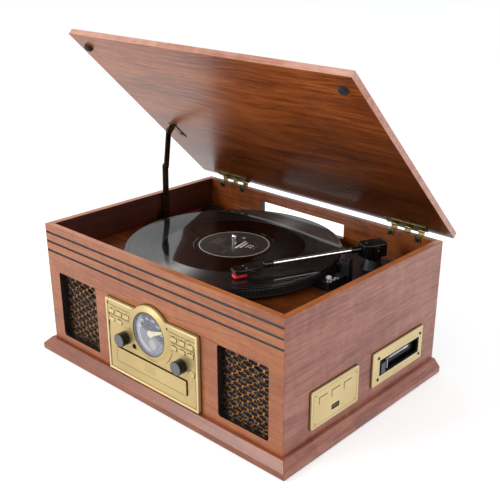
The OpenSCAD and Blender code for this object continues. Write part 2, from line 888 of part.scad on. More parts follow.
module cassette_key() {
    color([0.35, 0.35, 0.38])
        block([x_side - 12, key_y0 + tape_key_y[0], tape_open_z + tape_key_z[0]],
            [x_side + side_t + 1, key_y0 + tape_key_y[1], tape_open_z + tape_key_z[1]]);
}

module cassette_deck() {
    color([0.2, 0.2, 0.22]) {
        difference() {
            block([bay_x0, key_y0 - bay_t, bay_low - bay_t],
                [x_side - joint_gap, bay_y1 + bay_t, bay_high + bay_t]);
            block([bay_x0 + bay_t, bay_y0, bay_low], [x_side + 1, bay_y1, bay_high]);
            block([x_side - key_bay_depth, key_y0, bay_low], [x_side + 1, bay_y0 - bay_t, bay_high]);
        }
        for (s = [-1, 1])
            translate([tape_hub_x + s * tape_hub_pitch / 2, (bay_y0 + bay_y1) / 2, bay_low - eps])
                cylinder(r = 2.5, h = 4);
        for (y = [key_y0 + 6, bay_y1 - 12])
            block([tape_hub_x - 3, y, z_floor], [tape_hub_x + 3, y + 6, bay_low - bay_t + eps]);
    }
}

// Turntable

module platter() {
    top = platter_top_t;
    tip = 1.5;
    color([0.25, 0.25, 0.27]) translate([spindle_x, spindle_y, z_platter]) {
        difference() {
            cylinder(r = platter_r, h = platter_h, $fn = 128);
            translate([0, 0, -1]) cylinder(r = platter_r - platter_skirt, h = platter_h - top + 1, $fn = 128);
        }
        translate([0, 0, platter_h - top - drive_ring_h]) difference() {
            cylinder(r = drive_ring_r, h = drive_ring_h + eps, $fn = 96);
            translate([0, 0, -1]) cylinder(r = drive_ring_r - drive_ring_t, h = drive_ring_h + 2, $fn = 96);
        }
        translate([0, 0, boss_top - z_platter + fit_gap])
            cylinder(r = boss_r, h = platter_h - top - (boss_top - z_platter) - fit_gap + eps);
        translate([0, 0, z_deck - deck_t - z_platter])
            cylinder(r = spindle_r, h = z_record_top + spindle_up - tip - (z_deck - deck_t));
        translate([0, 0, z_record_top + spindle_up - tip - z_platter])
            cylinder(r1 = spindle_r, r2 = spindle_r - tip, h = tip);
    }
}

module record() {
    color(black) translate([spindle_x, spindle_y, z_record]) difference() {
        cylinder(r = record_r, h = record_t, $fn = 128);
        translate([0, 0, -1]) cylinder(r = spindle_r + joint_gap, h = record_t + 2);
        translate([0, 0, record_t - groove_depth]) difference() {
            cylinder(r = record_r - edge_bead, h = 1, $fn = 128);
            translate([0, 0, -1]) cylinder(r = label_r + label_rim, h = 3, $fn = 96);
        }
    }
}

module adapter_45() {
    color(black) translate([adapter_x, adapter_y, z_deck]) difference() {
        union() {
            cylinder(r = 19, h = 2);
            cylinder(r = 15, h = 5);
        }
        translate([0, 0, -1]) cylinder(r = 3.7, h = 8);
    }
}

// Outline of a belt round a wheel at the origin and one at distance d
module belt_shape(wheel, pulley, d) {
    a = acos((wheel - pulley) / d);
    w = wheel - run_gap;
    p = pulley - run_gap;
    circle(wheel, $fn = 96);
    translate([d, 0]) circle(pulley);
    polygon([[w * cos(a), w * sin(a)], [d + p * cos(a), p * sin(a)],
        [d + p * cos(a), -p * sin(a)], [w * cos(a), -w * sin(a)]]);
}

module drive_motor() {
    color([0.6, 0.6, 0.62]) translate([motor_x, motor_y, 0]) difference() {
        union() {
            translate([0, 0, z_deck - deck_t - 14]) cylinder(r = motor_r, h = 14 + deck_t + eps);
            translate([0, 0, z_deck]) cylinder(r = motor_r + 5, h = 1.5);
        }
        translate([0, 0, z_deck - 12]) cylinder(r = motor_shaft_r + run_gap, h = 20);
    }
    color(black) translate([spindle_x, spindle_y, z_belt]) rotate(motor_turn)
        linear_extrude(belt_h) difference() {
            belt_shape(drive_ring_r + run_gap + belt_t, pulley_r + run_gap + belt_t, motor_dist);
            belt_shape(drive_ring_r + run_gap, pulley_r + run_gap, motor_dist);
        }
}

module motor_pulley() {
    color([0.8, 0.7, 0.4]) translate([motor_x, motor_y, 0]) {
        translate([0, 0, z_deck - 10]) cylinder(r = motor_shaft_r, h = z_belt - z_deck + 10);
        translate([0, 0, z_deck + 3]) cylinder(r = pulley_r, h = z_belt + belt_h + 1 - z_deck - 3);
    }
}

// Places a tonearm piece drawn along +X from the pivot
module on_arm() {
    translate([arm_x, arm_y, 0]) rotate([0, 0, arm_turn]) children();
}

module turntable_chassis() {
    color(black) {
        difference() {
            union() {
                translate([(spindle_x + chassis_x1) / 2, (chassis_y0 + chassis_y1) / 2, z_deck])
                    linear_extrude(chassis_t)
                        round_rect(chassis_x1 - spindle_x, chassis_y1 - chassis_y0, 8);
                translate([spindle_x, spindle_y, z_deck - 6]) cylinder(r = boss_r, h = boss_top - z_deck + 6);
                translate([spindle_x, spindle_y, z_deck]) cylinder(r = 30, h = chassis_t);
                translate([arm_x, arm_y, z_chassis - eps]) cylinder(r1 = dome_r, r2 = dome_top_r, h = dome_h);
                block([lever_x - 4, lever_y + 3, z_chassis - eps], [lever_x + 4, lever_y + 8, z_chassis + 10]);
                block([switch_x - switch_w / 2, chassis_y0, z_chassis - eps],
                    [switch_x + switch_w / 2, chassis_y0 + switch_l, z_chassis + switch_h]);
            }
            translate([spindle_x, spindle_y, z_deck - 7]) cylinder(r = spindle_r + run_gap, h = 40);
            translate([arm_x, arm_y, z_deck - 1]) cylinder(r = yoke_shaft_r + run_gap, h = 40);
            block([switch_x - switch_slot / 2, switch_y - 8, z_chassis + switch_h - 4],
                [switch_x + switch_slot / 2, switch_y + 10, z_chassis + switch_h + 1]);
            rod_y(lever_y, lever_y + 10, lever_x, lever_z, lever_pin_r + run_gap);
        }
    }
}

// Post with a cradle under the parked tube and a keeper on its outer side
module arm_rest() {
    top = z_tube - tube_r - 2 * fit_gap;
    color(black) {
        block([rest_x - 4, rest_y - 4, z_chassis], [rest_x + 9, rest_y + 4, top - 2]);
        block([rest_x - 7, rest_y - 4, top - 2 - eps], [rest_x + 9, rest_y + 4, top]);
        block([rest_x + 6, rest_y - 4, top - eps], [rest_x + 9, rest_y + 4, top + 6]);
    }
}

// The adapter for 45 rpm records and the rest for the tonearm, two separate mouldings
module deck_fittings() {
    adapter_45();
    arm_rest();
}

module arm_yoke() {
    inner = housing_w / 2 + fit_gap;
    color(black) on_arm() {
        translate([0, 0, z_deck + 0.5]) cylinder(r = yoke_shaft_r, h = yoke_z - z_deck - 0.5 + eps);
        difference() {
            union() {
                translate([0, 0, yoke_z]) cylinder(r = yoke_r, h = yoke_t);
                block([-yoke_w / 2, -inner - fork_t, yoke_z], [yoke_w / 2, inner + fork_t, yoke_z + yoke_t]);
                for (s = [-1, 1]) translate([0, s * (inner + fork_t / 2), 0])
                    block([-yoke_w / 2, -fork_t / 2, yoke_z], [yoke_w / 2, fork_t / 2, z_tube + 4]);
            }
            rod_y(-40, 40, 0, z_tube, lift_pin_r + run_gap);
        }
    }
}

module tonearm() {
    low = yoke_z + yoke_t + fit_gap + 1;
    color(black) on_arm() {
        block([-housing_l / 2, -housing_w / 2, low], [housing_l / 2, housing_w / 2, z_tube + housing_h / 2]);
        rod_y(-housing_w / 2 - fit_gap - fork_t, housing_w / 2 + fit_gap + fork_t, 0, z_tube, lift_pin_r);
        translate([0, 0, z_tube]) rotate([0, 90, 0]) cylinder(r = tube_r + 1.5, h = 34);
    }
    color(steel) on_arm() translate([0, 0, z_tube]) rotate([0, 90, 0]) cylinder(r = tube_r, h = tube_len);
}

module on_head() {
    on_arm() translate([tube_len, 0, 0]) rotate([0, 0, head_bend]) children();
}

module headshell() {
    top = z_tube + head_up;
    color(black) {
        on_arm() difference() {
            translate([tube_len - 12, 0, z_tube]) rotate([0, 90, 0]) cylinder(r = tube_r + 1.4, h = 14);
            translate([tube_len - 13, 0, z_tube]) rotate([0, 90, 0])
                cylinder(r = tube_r + joint_gap, h = 13 + joint_gap);
        }
        on_head() {
            block([1.5, -head_w / 2 + 2, top - head_h], [12, head_w / 2 - 2, top]);
            block([8, -head_w / 2, top - head_h], [head_l, head_w / 2, top]);
            block([head_l - cartridge_l - 2, -cartridge_w / 2, top - head_h - cartridge_h],
                [head_l - 2, cartridge_w / 2, top - head_h + eps]);
        }
    }
    color(steel) on_head()
        block([24, head_w / 2 - eps, top - 2], [27, head_w / 2 + 12, top - 1]);
}

module stylus() {
    top = z_tube + head_up - head_h - cartridge_h - joint_gap;
    color([0.8, 0.05, 0.08]) on_head() {
        block([head_l - guard_l, -guard_w / 2, top - guard_h], [head_l + 1.5, guard_w / 2, top]);
        translate([head_l - 4, 0, top - guard_h - 1.4]) cylinder(r1 = 0.5, r2 = 1.1, h = 1.4 + eps);
    }
}

module cue_lever() {
    color(black) {
        rod_y(lever_y - 9, lever_y + 8.5, lever_x, lever_z, lever_pin_r);
        block([lever_x - 2.5, lever_y - 9, lever_z - 1.5], [lever_x + 2.5, lever_y - 5, lever_z + 11]);
    }
}

module speed_switch() {
    color([0.7, 0.7, 0.7])
        block([switch_x - switch_slot / 2 + fit_gap, switch_y - 7.5, z_chassis + switch_h - 4 + fit_gap],
            [switch_x + switch_slot / 2 - fit_gap, switch_y - 2.5, z_chassis + switch_h + 3]);
}

// Electrics

module main_board() {
    z_board = z_floor + board_lift;
    color([0.1, 0.35, 0.2]) block([board_x0, board_y0, z_board], [board_x1, board_y1, z_board + board_t]);
    color([0.7, 0.7, 0.7]) for (x = [board_x0 + 6, board_x1 - 10], y = [board_y0 + 6, board_y1 - 10])
        block([x, y, z_floor], [x + 4, y + 4, z_board + eps]);
    color([0.5, 0.45, 0.3]) block([-60, 70, z_floor], [-14, 118, z_floor + 38]);
    color(black) for (i = [0 : 3])
        translate([board_x0 + 12 + i * 22, 60, z_board + board_t - eps]) cylinder(r = 5, h = 16);
}

module rear_terminals() {
    inlet_x = terminal_x + 24;
    color(black) difference() {
        union() {
            front_solid(terminal_x, terminal_z, y_back, y_back + terminal_t)
                round_rect(terminal_w, terminal_h, 3);
            front_solid(inlet_x, terminal_z, y_back - inlet_depth, y_back + eps)
                round_rect(inlet_w + 6, inlet_h + 8, 3);
        }
        front_solid(inlet_x, terminal_z, y_back - inlet_depth + 2, y_back + 3)
            round_rect(inlet_w, inlet_h, 4);
        for (i = [0, 1])
            rod_y(y_back - 1, y_back + 3, socket_x(i), terminal_z, socket_r + joint_gap);
    }
    color([0.85, 0.2, 0.15]) for (i = [0, 1]) difference() {
        rod_y(y_back - 12, y_back + terminal_t + jack_out, socket_x(i), terminal_z, socket_r);
        rod_y(y_back + 1, y_back + terminal_t + jack_out + 1, socket_x(i), terminal_z, socket_bore_r);
    }
}

placed() front_panel();
placed() left_panel();
placed() right_panel();
placed() rear_panel();
placed() deck_board();
placed() bottom_board();
placed() base_mouldings();
placed() feet();
placed() lid();
placed() lid_bumpers();
placed() lid_fittings();
placed() hinge_wall_leaves();
placed() wall_screws();
placed() stay_wall_bracket();
placed() stay_lower_arm();
placed() stay_upper_arm();
placed() speaker_grilles();
placed() speakers();
placed() faceplate();
placed() dial_scale();
placed() dial_lens();
placed() dial_pointer();
placed() tuning_knob();
placed() volume_knob();
placed() cd_tray();
placed() cd_mechanism();
placed() eject_button();
placed() function_key(-1, 0);  // key_left_1
placed() function_key(-1, 1);  // key_left_2
placed() function_key(-1, 2);  // key_left_3
placed() function_key(-1, 4);  // key_left_4
placed() function_key(-1, 5);  // key_left_5
placed() function_key(1, 0);  // key_right_1
placed() function_key(1, 1);  // key_right_2
placed() function_key(1, 2);  // key_right_3
placed() function_key(1, 3);  // key_right_4
placed() function_key(1, 4);  // key_right_5
placed() function_key(1, 5);  // key_right_6
placed() media_plate();
placed() media_button(0);  // media_key_1
placed() media_button(1);  // media_key_2
placed() media_button(2);  // media_key_3
placed() cassette_plate();
placed() cassette_flap();
placed() cassette_key();
placed() cassette_deck();
placed() platter();
placed() record();
placed() drive_motor();
placed() motor_pulley();
placed() turntable_chassis();
placed() deck_fittings();
placed() arm_yoke();
placed() tonearm();
placed() headshell();
placed() stylus();
placed() cue_lever();
placed() speed_switch();
placed() main_board();
placed() rear_terminals();
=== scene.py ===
"""Looks of a table-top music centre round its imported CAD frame. Sizes are in millimetres."""

import math
from math import cos, pi, radians, sin

import bmesh
import bpy
from mathutils import Matrix, Vector


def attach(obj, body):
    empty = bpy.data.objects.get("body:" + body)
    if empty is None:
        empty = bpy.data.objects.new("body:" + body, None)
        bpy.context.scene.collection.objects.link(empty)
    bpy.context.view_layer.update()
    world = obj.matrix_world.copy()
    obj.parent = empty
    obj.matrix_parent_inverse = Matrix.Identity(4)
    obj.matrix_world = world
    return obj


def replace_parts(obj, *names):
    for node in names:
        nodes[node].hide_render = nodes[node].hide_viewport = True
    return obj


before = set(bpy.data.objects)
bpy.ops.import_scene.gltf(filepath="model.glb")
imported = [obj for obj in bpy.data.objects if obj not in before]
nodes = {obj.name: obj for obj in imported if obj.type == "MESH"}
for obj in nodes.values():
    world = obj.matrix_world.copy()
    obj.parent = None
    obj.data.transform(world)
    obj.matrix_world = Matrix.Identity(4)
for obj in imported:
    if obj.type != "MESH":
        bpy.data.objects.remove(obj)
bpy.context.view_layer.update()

MM = 0.001
DY = 4.0
IMAGE = 500

# Camera, solved from the cabinet's corners in the photograph
CAM_YAW = 0.711
CAM_PITCH = 0.398
CAM_ROLL = 0.016
CAM_FOCAL_PX = 815.98
CAM_AXIS_PX = (284.42, 268.59)
CAM_PLACE = (726.69, -746.38, 581.29)
SENSOR = 36.0

# Cabinet
X_SIDE = 221.0
X_IN = 211.5
Y_FRONT = -160.5
Y_IN_FRONT = -151.0
Y_IN_BACK = 152.5
Y_BACK = 160.5
Z_RIM = 196.0
Z_DECK = 151.5
LID_Z = 202.0
LID_T = 9.1
LID_ANGLE = radians(44.4)
HINGE = (160.9, 201.6)
SPK_X = 157.0
SPK_Z = 79.5
SPK_HALF = (45.0, 52.0)
FOOT = (195, 134.5)

# Faceplate
Y_PLATE = -165.5
DIAL_Z = 102.5
Y_DIAL = -164.3
KNOB_X = 54.5
KNOB_SHIFT = 4.7
KNOB_Z = 80.0
DRAWER_Y = -167.5
KEY_ROWS = (111.0, 99.0)
KEY_COLS = (45.5, 60.5, 75.5)

# Side plates
X_PLATE = X_SIDE + 3.2
TAPE_OPEN = (68.1, 60.5)
MEDIA = (-68.7, 59.5)

# Turntable
SPINDLE = (-16.3, 4.6)
Z_PLATTER = 155.9
Z_RECORD = 170.9
RECORD_T = 1.8
LABEL_TURN = radians(283.5)
ARM = (147.0, 104.0)
ARM_TURN = radians(245.7)
Z_TUBE = 183.7
TUBE_LEN = 159.0
HEAD_L = 45.0
HEAD_TOP = 2.1
HEAD_BEND = radians(7)


def rgb(red, green, blue):
    """Linear colour from 8-bit screen values."""
    def line(v):
        v = v / 255
        return v / 12.92 if v <= 0.04045 else ((v + 0.055) / 1.055) ** 2.4
    return (line(red), line(green), line(blue), 1.0)


def put(tree, socket, value):
    if isinstance(value, bpy.types.NodeSocket):
        tree.links.new(value, socket)
    else:
        socket.default_value = value


def add_node(tree, kind, *values, **named):
    """A node with its inputs given in their order, by name or both."""
    node = tree.nodes.new("ShaderNode" + kind)
    for key, value in (*enumerate(values), *named.items()):
        put(tree, node.inputs[key], value)
    return node


def empty_tree(owner):
    owner.use_nodes = True
    owner.node_tree.nodes.clear()
    return owner.node_tree


class Net:
    """A node material with short calls for the nodes it needs."""

    def __init__(self, name, rough=0.5, metal=0.0, specular=0.5, coat=0.0, coat_rough=0.15):
        self.material = bpy.data.materials.new(name)
        self.material.use_nodes = True
        self.tree = self.material.node_tree
        self.shader = self.tree.nodes["Principled BSDF"]
        for socket, value in (("Roughness", rough), ("Metallic", metal), ("Specular IOR Level", specular),
                              ("Coat Weight", coat), ("Coat Roughness", coat_rough)):
            self.set(socket, value)
        self.at = self.add("TexCoord").outputs["Object"]

    def set(self, name, value):
        put(self.tree, self.shader.inputs[name], value)

    def add(self, kind, *values, **named):
        return add_node(self.tree, kind, *values, **named)

    def work(self, kind, operation, *values):
        node = self.add(kind, *values)
        node.operation = operation
        return node

    def placed(self, vector, scale=(1, 1, 1), turn=(0, 0, 0), shift=(0, 0, 0)):
        return self.add("Mapping", vector, shift, turn, scale).outputs[0]

    def split(self, vector):
        return self.add("SeparateXYZ", vector).outputs

    def noise(self, vector, scale, detail=3.0, rough=0.5, distort=0.0):
        node = self.add("TexNoise", vector, Scale=scale, Detail=detail, Roughness=rough, Distortion=distort)
        return node.outputs[0]

    def streaks(self, vector, stretch, *shape):
        return self.noise(self.placed(vector, scale=stretch), 1.0, *shape)

    def math(self, operation, a, b=0.0, c=0.0):
        return self.work("Math", operation, a, b, c).outputs[0]

    def times(self, a, b, plus=None):
        if plus is None:
            return self.math("MULTIPLY", a, b)
        return self.math("MULTIPLY_ADD", a, b, plus)

    def above(self, value, low):
        return self.math("GREATER_THAN", value, low)

    def below(self, value, high):
        return self.math("LESS_THAN", value, high)

    def between(self, value, low, high):
        return self.times(self.above(value, low), self.below(value, high))

    def span(self, value, low, high, to_low=0.0, to_high=1.0):
        return self.add("MapRange", value, low, high, to_low, to_high).outputs[0]

    def mix(self, share, a, b):
        node = self.add("Mix", share)
        node.data_type = "RGBA"
        put(self.tree, node.inputs[6], a)
        put(self.tree, node.inputs[7], b)
        return node.outputs[2]

    def ramp(self, value, stops):
        node = self.add("ValToRGB", Fac=value)
        marks = node.color_ramp.elements
        while len(marks) < len(stops):
            marks.new(0.5)
        for mark, (place, colour) in zip(marks, stops):
            mark.position = place
            mark.color = colour
        return node.outputs[0]

    def bump(self, height, strength, distance):
        node = self.add("Bump", Strength=strength, Distance=distance, Height=height)
        self.set("Normal", node.outputs[0])

    def size(self, value):
        return self.math("ABSOLUTE", value)

    def done(self, colour):
        self.set("Base Color", colour)
        return self.material

    def distance(self, vector):
        return self.work("VectorMath", "LENGTH", vector).outputs["Value"]


# Tones, light to dark
OUTER = (rgb(180, 107, 57), rgb(160, 89, 46), rgb(134, 68, 36))
# The side panels' tones are the same veneer painted pinker and greyer: painted reflection of the pale
# surroundings.
SIDE_SHEEN = (rgb(178, 116, 96), rgb(154, 90, 72), rgb(118, 60, 46))
BASE = (rgb(154, 81, 42), rgb(135, 66, 32), rgb(112, 48, 24))
INNER = (rgb(160, 84, 20), rgb(128, 62, 13), rgb(82, 35, 8))
# The deck's tones are the inner veneer painted darker: painted shade under the lid.
DECK_SHADE = (rgb(146, 76, 20), rgb(108, 51, 11), rgb(64, 27, 7))
# The panels' top edges painted paler: painted highlight from above.
RIM_LIT = (rgb(214, 134, 80), rgb(192, 114, 62), rgb(166, 90, 46))
# The left wall's inner face painted darker than the right's: painted shade.
INNER_SHADE = (rgb(98, 44, 24), rgb(76, 32, 18), rgb(48, 20, 13))
UNDER = (rgb(188, 104, 44), rgb(156, 78, 30), rgb(108, 50, 19))
# The lid underside painted darker towards the hinge: painted shade.
UNDER_SHADE = (rgb(92, 44, 13), rgb(68, 30, 8), rgb(42, 16, 5))
# The lid's edges painted paler: painted highlight.
EDGE_LIT = (rgb(222, 172, 152), rgb(206, 150, 130), rgb(178, 116, 96))
BLACK_PAINT = rgb(22, 20, 20)

# The left end of the slot in the rear panel, and the top of the main board, in metres
SLOT_END_X = (-0.1006, -0.1)
SLOT_END_Z = (0.158, 0.183)
BOARD_TOP = 0.0172


def grain(net, vector, tones, flamed=0.18):
    """Cherry veneer along X: broad figure, cross flame, fine streaks and dark pores."""
    figure = net.streaks(vector, (3.2, 22, 22), 3.0, 0.55, 1.1)
    flame = net.streaks(vector, (60, 26, 26), 3.0, 0.6, 0.6)
    streak = net.streaks(vector, (14, 300, 300), 4.0, 0.6, 0.5)
    hair = net.streaks(vector, (55, 1300, 1300), 2.0)
    tone = net.times(figure, 0.3)
    tone = net.times(flame, flamed, tone)
    tone = net.times(streak, 0.52 - flamed, tone)
    tone = net.times(hair, 0.18, tone)
    colour = net.ramp(tone, [(0.4, tones[2]), (0.5, tones[1]), (0.6, tones[0])])
    pore = net.streaks(vector, (70, 1500, 1500), 1.0)
    dash = net.span(pore, 0.62, 0.7)
    return net.mix(net.times(dash, 0.5), colour, tones[2]), streak, hair


def wood(name, tones, turn=(0, 0, 0), rough=0.4, coat=0.3):
    """Varnished veneer as a net, its vector and its colour."""
    net = Net(name, rough=rough, coat=coat, coat_rough=0.25)
    vector = net.placed(net.at, turn=turn)
    colour, streak, hair = grain(net, vector, tones)
    net.bump(net.math("ADD", streak, hair), 0.12, 0.0002)
    net.set("Base Color", colour)
    return net, vector, colour


def board_wood(net, vector, tones):
    """Colour of a panel's inner face, with its top edge painted paler as painted highlight."""
    x, y, z = net.split(net.at)
    inner = grain(net, vector, tones)[0]
    rim = grain(net, vector, RIM_LIT)[0]
    return x, y, z, net.mix(net.above(z, (Z_RIM - 0.4) * MM), inner, rim)


def front_wood():
    net, vector, colour = wood("front_wood", OUTER)
    x, y, z, inner = board_wood(net, vector, INNER)
    behind = (Y_FRONT + DY + 0.3) * MM
    colour = net.mix(net.above(y, behind), colour, inner)
    cut = net.between(y, behind, (Y_IN_FRONT + DY - 0.4) * MM)
    cut = net.times(cut, net.below(z, (Z_RIM - 1.5) * MM))
    cut = net.times(cut, net.below(net.size(x), (X_SIDE - 0.9) * MM))
    return net.done(net.mix(cut, colour, BLACK_PAINT))


def side_wood(name, inner_tones):
    net, vector, colour = wood(name, SIDE_SHEEN, turn=(0, 0, pi / 2))
    x, _, _, inner = board_wood(net, vector, inner_tones)
    outside = net.above(net.size(x), (X_SIDE - 0.3) * MM)
    return net.done(net.mix(outside, inner, colour))


def moulding_wood():
    net, _, colour = wood("moulding_wood", BASE)
    across = net.placed(net.at, turn=(0, 0, pi / 2))
    # On the sides the moulding takes the side panels' tones, painted pinker as painted reflection.
    side = grain(net, across, SIDE_SHEEN)[0]
    x, y, _ = net.split(net.at)
    reach = net.math("ADD", net.size(x), y)
    beyond = net.above(reach, (X_SIDE + Y_FRONT + DY) * MM)
    return net.done(net.mix(beyond, colour, side))


def inner_wood(name, tones):
    return wood(name, tones, rough=0.42, coat=0.1)[0].material


def rear_wood():
    net, _, colour = wood("rear_wood", INNER, rough=0.45, coat=0.08)
    board = net.noise(net.at, 260.0, 4.0, 0.7)
    brown = net.ramp(board, [(0.3, rgb(84, 56, 38)), (0.7, rgb(116, 82, 58))])
    x, y, z = net.split(net.at)
    outside = net.above(y, (Y_BACK + DY - 0.3) * MM)
    colour = net.mix(outside, colour, brown)
    slot_end = net.times(net.between(x, *SLOT_END_X), net.between(z, *SLOT_END_Z))
    return net.done(net.mix(slot_end, colour, rgb(2, 2, 2)))


def lid_wood():
    """Underside, edges and top in their own tones, told apart in the closed lid's frame; the underside is
    painted darker towards the hinge and the right as painted shade, and the edges paler as painted
    highlight.
    """
    turned = Matrix.Rotation(LID_ANGLE, 3, "X")
    pivot = Vector((0, (HINGE[0] + DY) * MM, HINGE[1] * MM))
    shift = pivot - turned @ pivot
    net = Net("lid_wood", rough=0.3, specular=0.4, coat=0.1, coat_rough=0.12)
    closed = net.placed(net.at, turn=(LID_ANGLE, 0, 0), shift=tuple(shift))
    sway = net.streaks(closed, (5, 12, 12), 2.0)
    bent = net.add("CombineXYZ", Y=net.times(sway, 0.035))
    lifted = net.work("VectorMath", "ADD", closed, bent.outputs[0]).outputs[0]
    under, streak, hair = grain(net, lifted, UNDER, 0.06)
    low = grain(net, lifted, UNDER_SHADE, 0.06)[0]
    x, y, z = net.split(closed)
    # Painted shade: the underside darker towards the hinge and the right.
    under = net.mix(net.span(net.times(x, 0.35, y), -0.08, 0.15), under, low)
    fleck = net.streaks(lifted, (26, 520, 520), 3.0, 0.7)
    under = net.mix(net.times(net.span(fleck, 0.54, 0.72), 0.3), under, rgb(76, 34, 13))
    edge = grain(net, closed, EDGE_LIT)[0]
    top = grain(net, closed, OUTER)[0]
    above = net.above(z, (LID_Z + 0.5) * MM)
    edge = net.mix(net.above(z, (LID_Z + LID_T - 0.2) * MM), edge, top)
    net.set("Roughness", net.span(y, 0.06, 0.15, 0.3, 0.17))
    net.bump(net.math("ADD", streak, hair), 0.1, 0.0002)
    return net.done(net.mix(above, under, edge))


def gilt(name="gilt", light=rgb(206, 184, 131), dark=rgb(190, 167, 113), rough=0.4, black_beyond=None):
    """Pale gold anodised metal, finely blasted; behind black_beyond it is black plastic."""
    net = Net(name, rough=rough, metal=0.75, specular=0.5)
    cloud = net.noise(net.at, 22.0, 3.0, 0.5)
    speck = net.noise(net.at, 2600.0, 2.0, 0.6)
    tone = net.times(speck, 0.45, net.times(cloud, 0.55))
    colour = net.ramp(tone, [(0.36, dark), (0.62, light)])
    if black_beyond is not None:
        behind = net.above(net.split(net.at)[1], black_beyond)
        colour = net.mix(behind, colour, rgb(12, 11, 10))
        net.set("Metallic", net.times(behind, -0.75, 0.75))
    net.set("Roughness", net.span(speck, 0.3, 0.7, rough - 0.05, rough + 0.08))
    net.bump(speck, 0.08, 0.0001)
    return net.done(colour)


def plastic(name, colour, rough=0.4, grainy=0.15, worn=None, specular=0.5):
    """Moulded plastic: a fine spark-eroded texture, with slightly uneven gloss."""
    net = Net(name, rough=rough, specular=specular)
    fine = net.noise(net.at, 1900.0, 3.0, 0.6)
    cloud = net.noise(net.at, 45.0, 3.0, 0.55)
    other = worn or tuple(min(1.0, c * 1.35 + 0.002) for c in colour[:3]) + (1.0,)
    net.set("Roughness", net.span(cloud, 0.3, 0.7, rough * 0.85, min(1.0, rough * 1.2)))
    net.bump(fine, grainy, 0.00008)
    return net.done(net.mix(net.span(cloud, 0.35, 0.75), colour, other))


def metal(name, light, dark, rough=0.3, wear=0.5):
    """Metal with a drawn or tarnished surface."""
    net = Net(name, rough=rough, metal=1.0)
    cloud = net.noise(net.at, 130.0, 4.0, 0.65)
    drawn = net.noise(net.at, 900.0, 2.0)
    tone = net.times(drawn, 1.0 - wear, net.times(cloud, wear))
    net.set("Roughness", net.span(cloud, 0.3, 0.7, rough * 0.8, min(1.0, rough * 1.35)))
    net.bump(drawn, 0.06, 0.0001)
    return net.done(net.ramp(tone, [(0.38, dark), (0.6, light)]))


def vinyl(name, light, dark, rough, shine, clear, swirl=0.0):
    """Pressed record: grooves in tracks, smooth gaps between them; swirl stretches its gloss."""
    net = Net(name, rough=rough, specular=shine, coat=clear, coat_rough=0.035)
    net.set("Anisotropic", swirl)
    net.set("Anisotropic Rotation", 0.25)
    tangent = net.add("Tangent")
    tangent.direction_type = "RADIAL"
    tangent.axis = "Z"
    net.set("Tangent", tangent.outputs[0])
    radius = net.distance(net.placed(net.at, scale=(1, 1, 0)))
    line = net.add("CombineXYZ", X=radius).outputs[0]
    track = net.noise(line, 900.0, 3.0, 0.7)
    broad = net.noise(line, 120.0, 2.0, 0.5)
    beat = net.size(net.math("SUBTRACT", net.math("MODULO", radius, 0.0122), 0.0061))
    gap = net.below(beat, 0.0004)
    inside = net.between(radius, 0.0565, 0.1475)
    shade = net.ramp(net.times(track, 0.4, net.times(broad, 0.6)),
                     [(0.34, dark), (0.64, light)])
    shade = net.mix(net.times(gap, inside), shade, rgb(3, 3, 3))
    net.set("Roughness", net.span(broad, 0.3, 0.7, rough * 0.8, rough * 1.2))
    net.bump(net.times(track, inside), 0.03, 0.00003)
    return net.done(net.mix(inside, rgb(6, 6, 6), shade))


def label_paper():
    net = Net("label_paper", rough=0.55)
    radius = net.distance(net.placed(net.at, scale=(1, 1, 0)))
    fibre = net.noise(net.at, 1400.0, 4.0, 0.7)
    cloud = net.noise(net.at, 40.0, 2.0)
    tone = net.times(fibre, 0.3, net.times(cloud, 0.7))
    paper = net.ramp(tone, [(0.35, rgb(38, 34, 30)), (0.65, rgb(54, 48, 42))])
    ring = net.between(radius, 0.0478, 0.0486)
    fine = net.between(radius, 0.0168, 0.0171)
    print_mask = net.math("MAXIMUM", ring, net.times(fine, 0.3))
    net.bump(fibre, 0.1, 0.0001)
    return net.done(net.mix(print_mask, paper, rgb(244, 240, 232)))


def grille_cloth():
    """Black speaker cloth: a plain weave, with painted grey-blue highlights in streaks."""
    net = Net("grille_cloth", rough=0.85, specular=0.2)
    x, _, z = net.split(net.at)
    warp = net.math("SINE", net.times(x, 5200.0))
    weft = net.math("SINE", net.times(z, 5200.0))
    weave = net.times(warp, weft)
    cloth = net.ramp(net.span(weave, -1, 1), [(0.2, rgb(8, 8, 9)), (0.9, rgb(44, 44, 50))])
    glint = net.streaks(net.at, (260, 260, 520), 2.0, 0.6)
    net.bump(weave, 0.4, 0.0002)
    return net.done(net.mix(net.span(glint, 0.54, 0.66), cloth, rgb(104, 110, 124)))


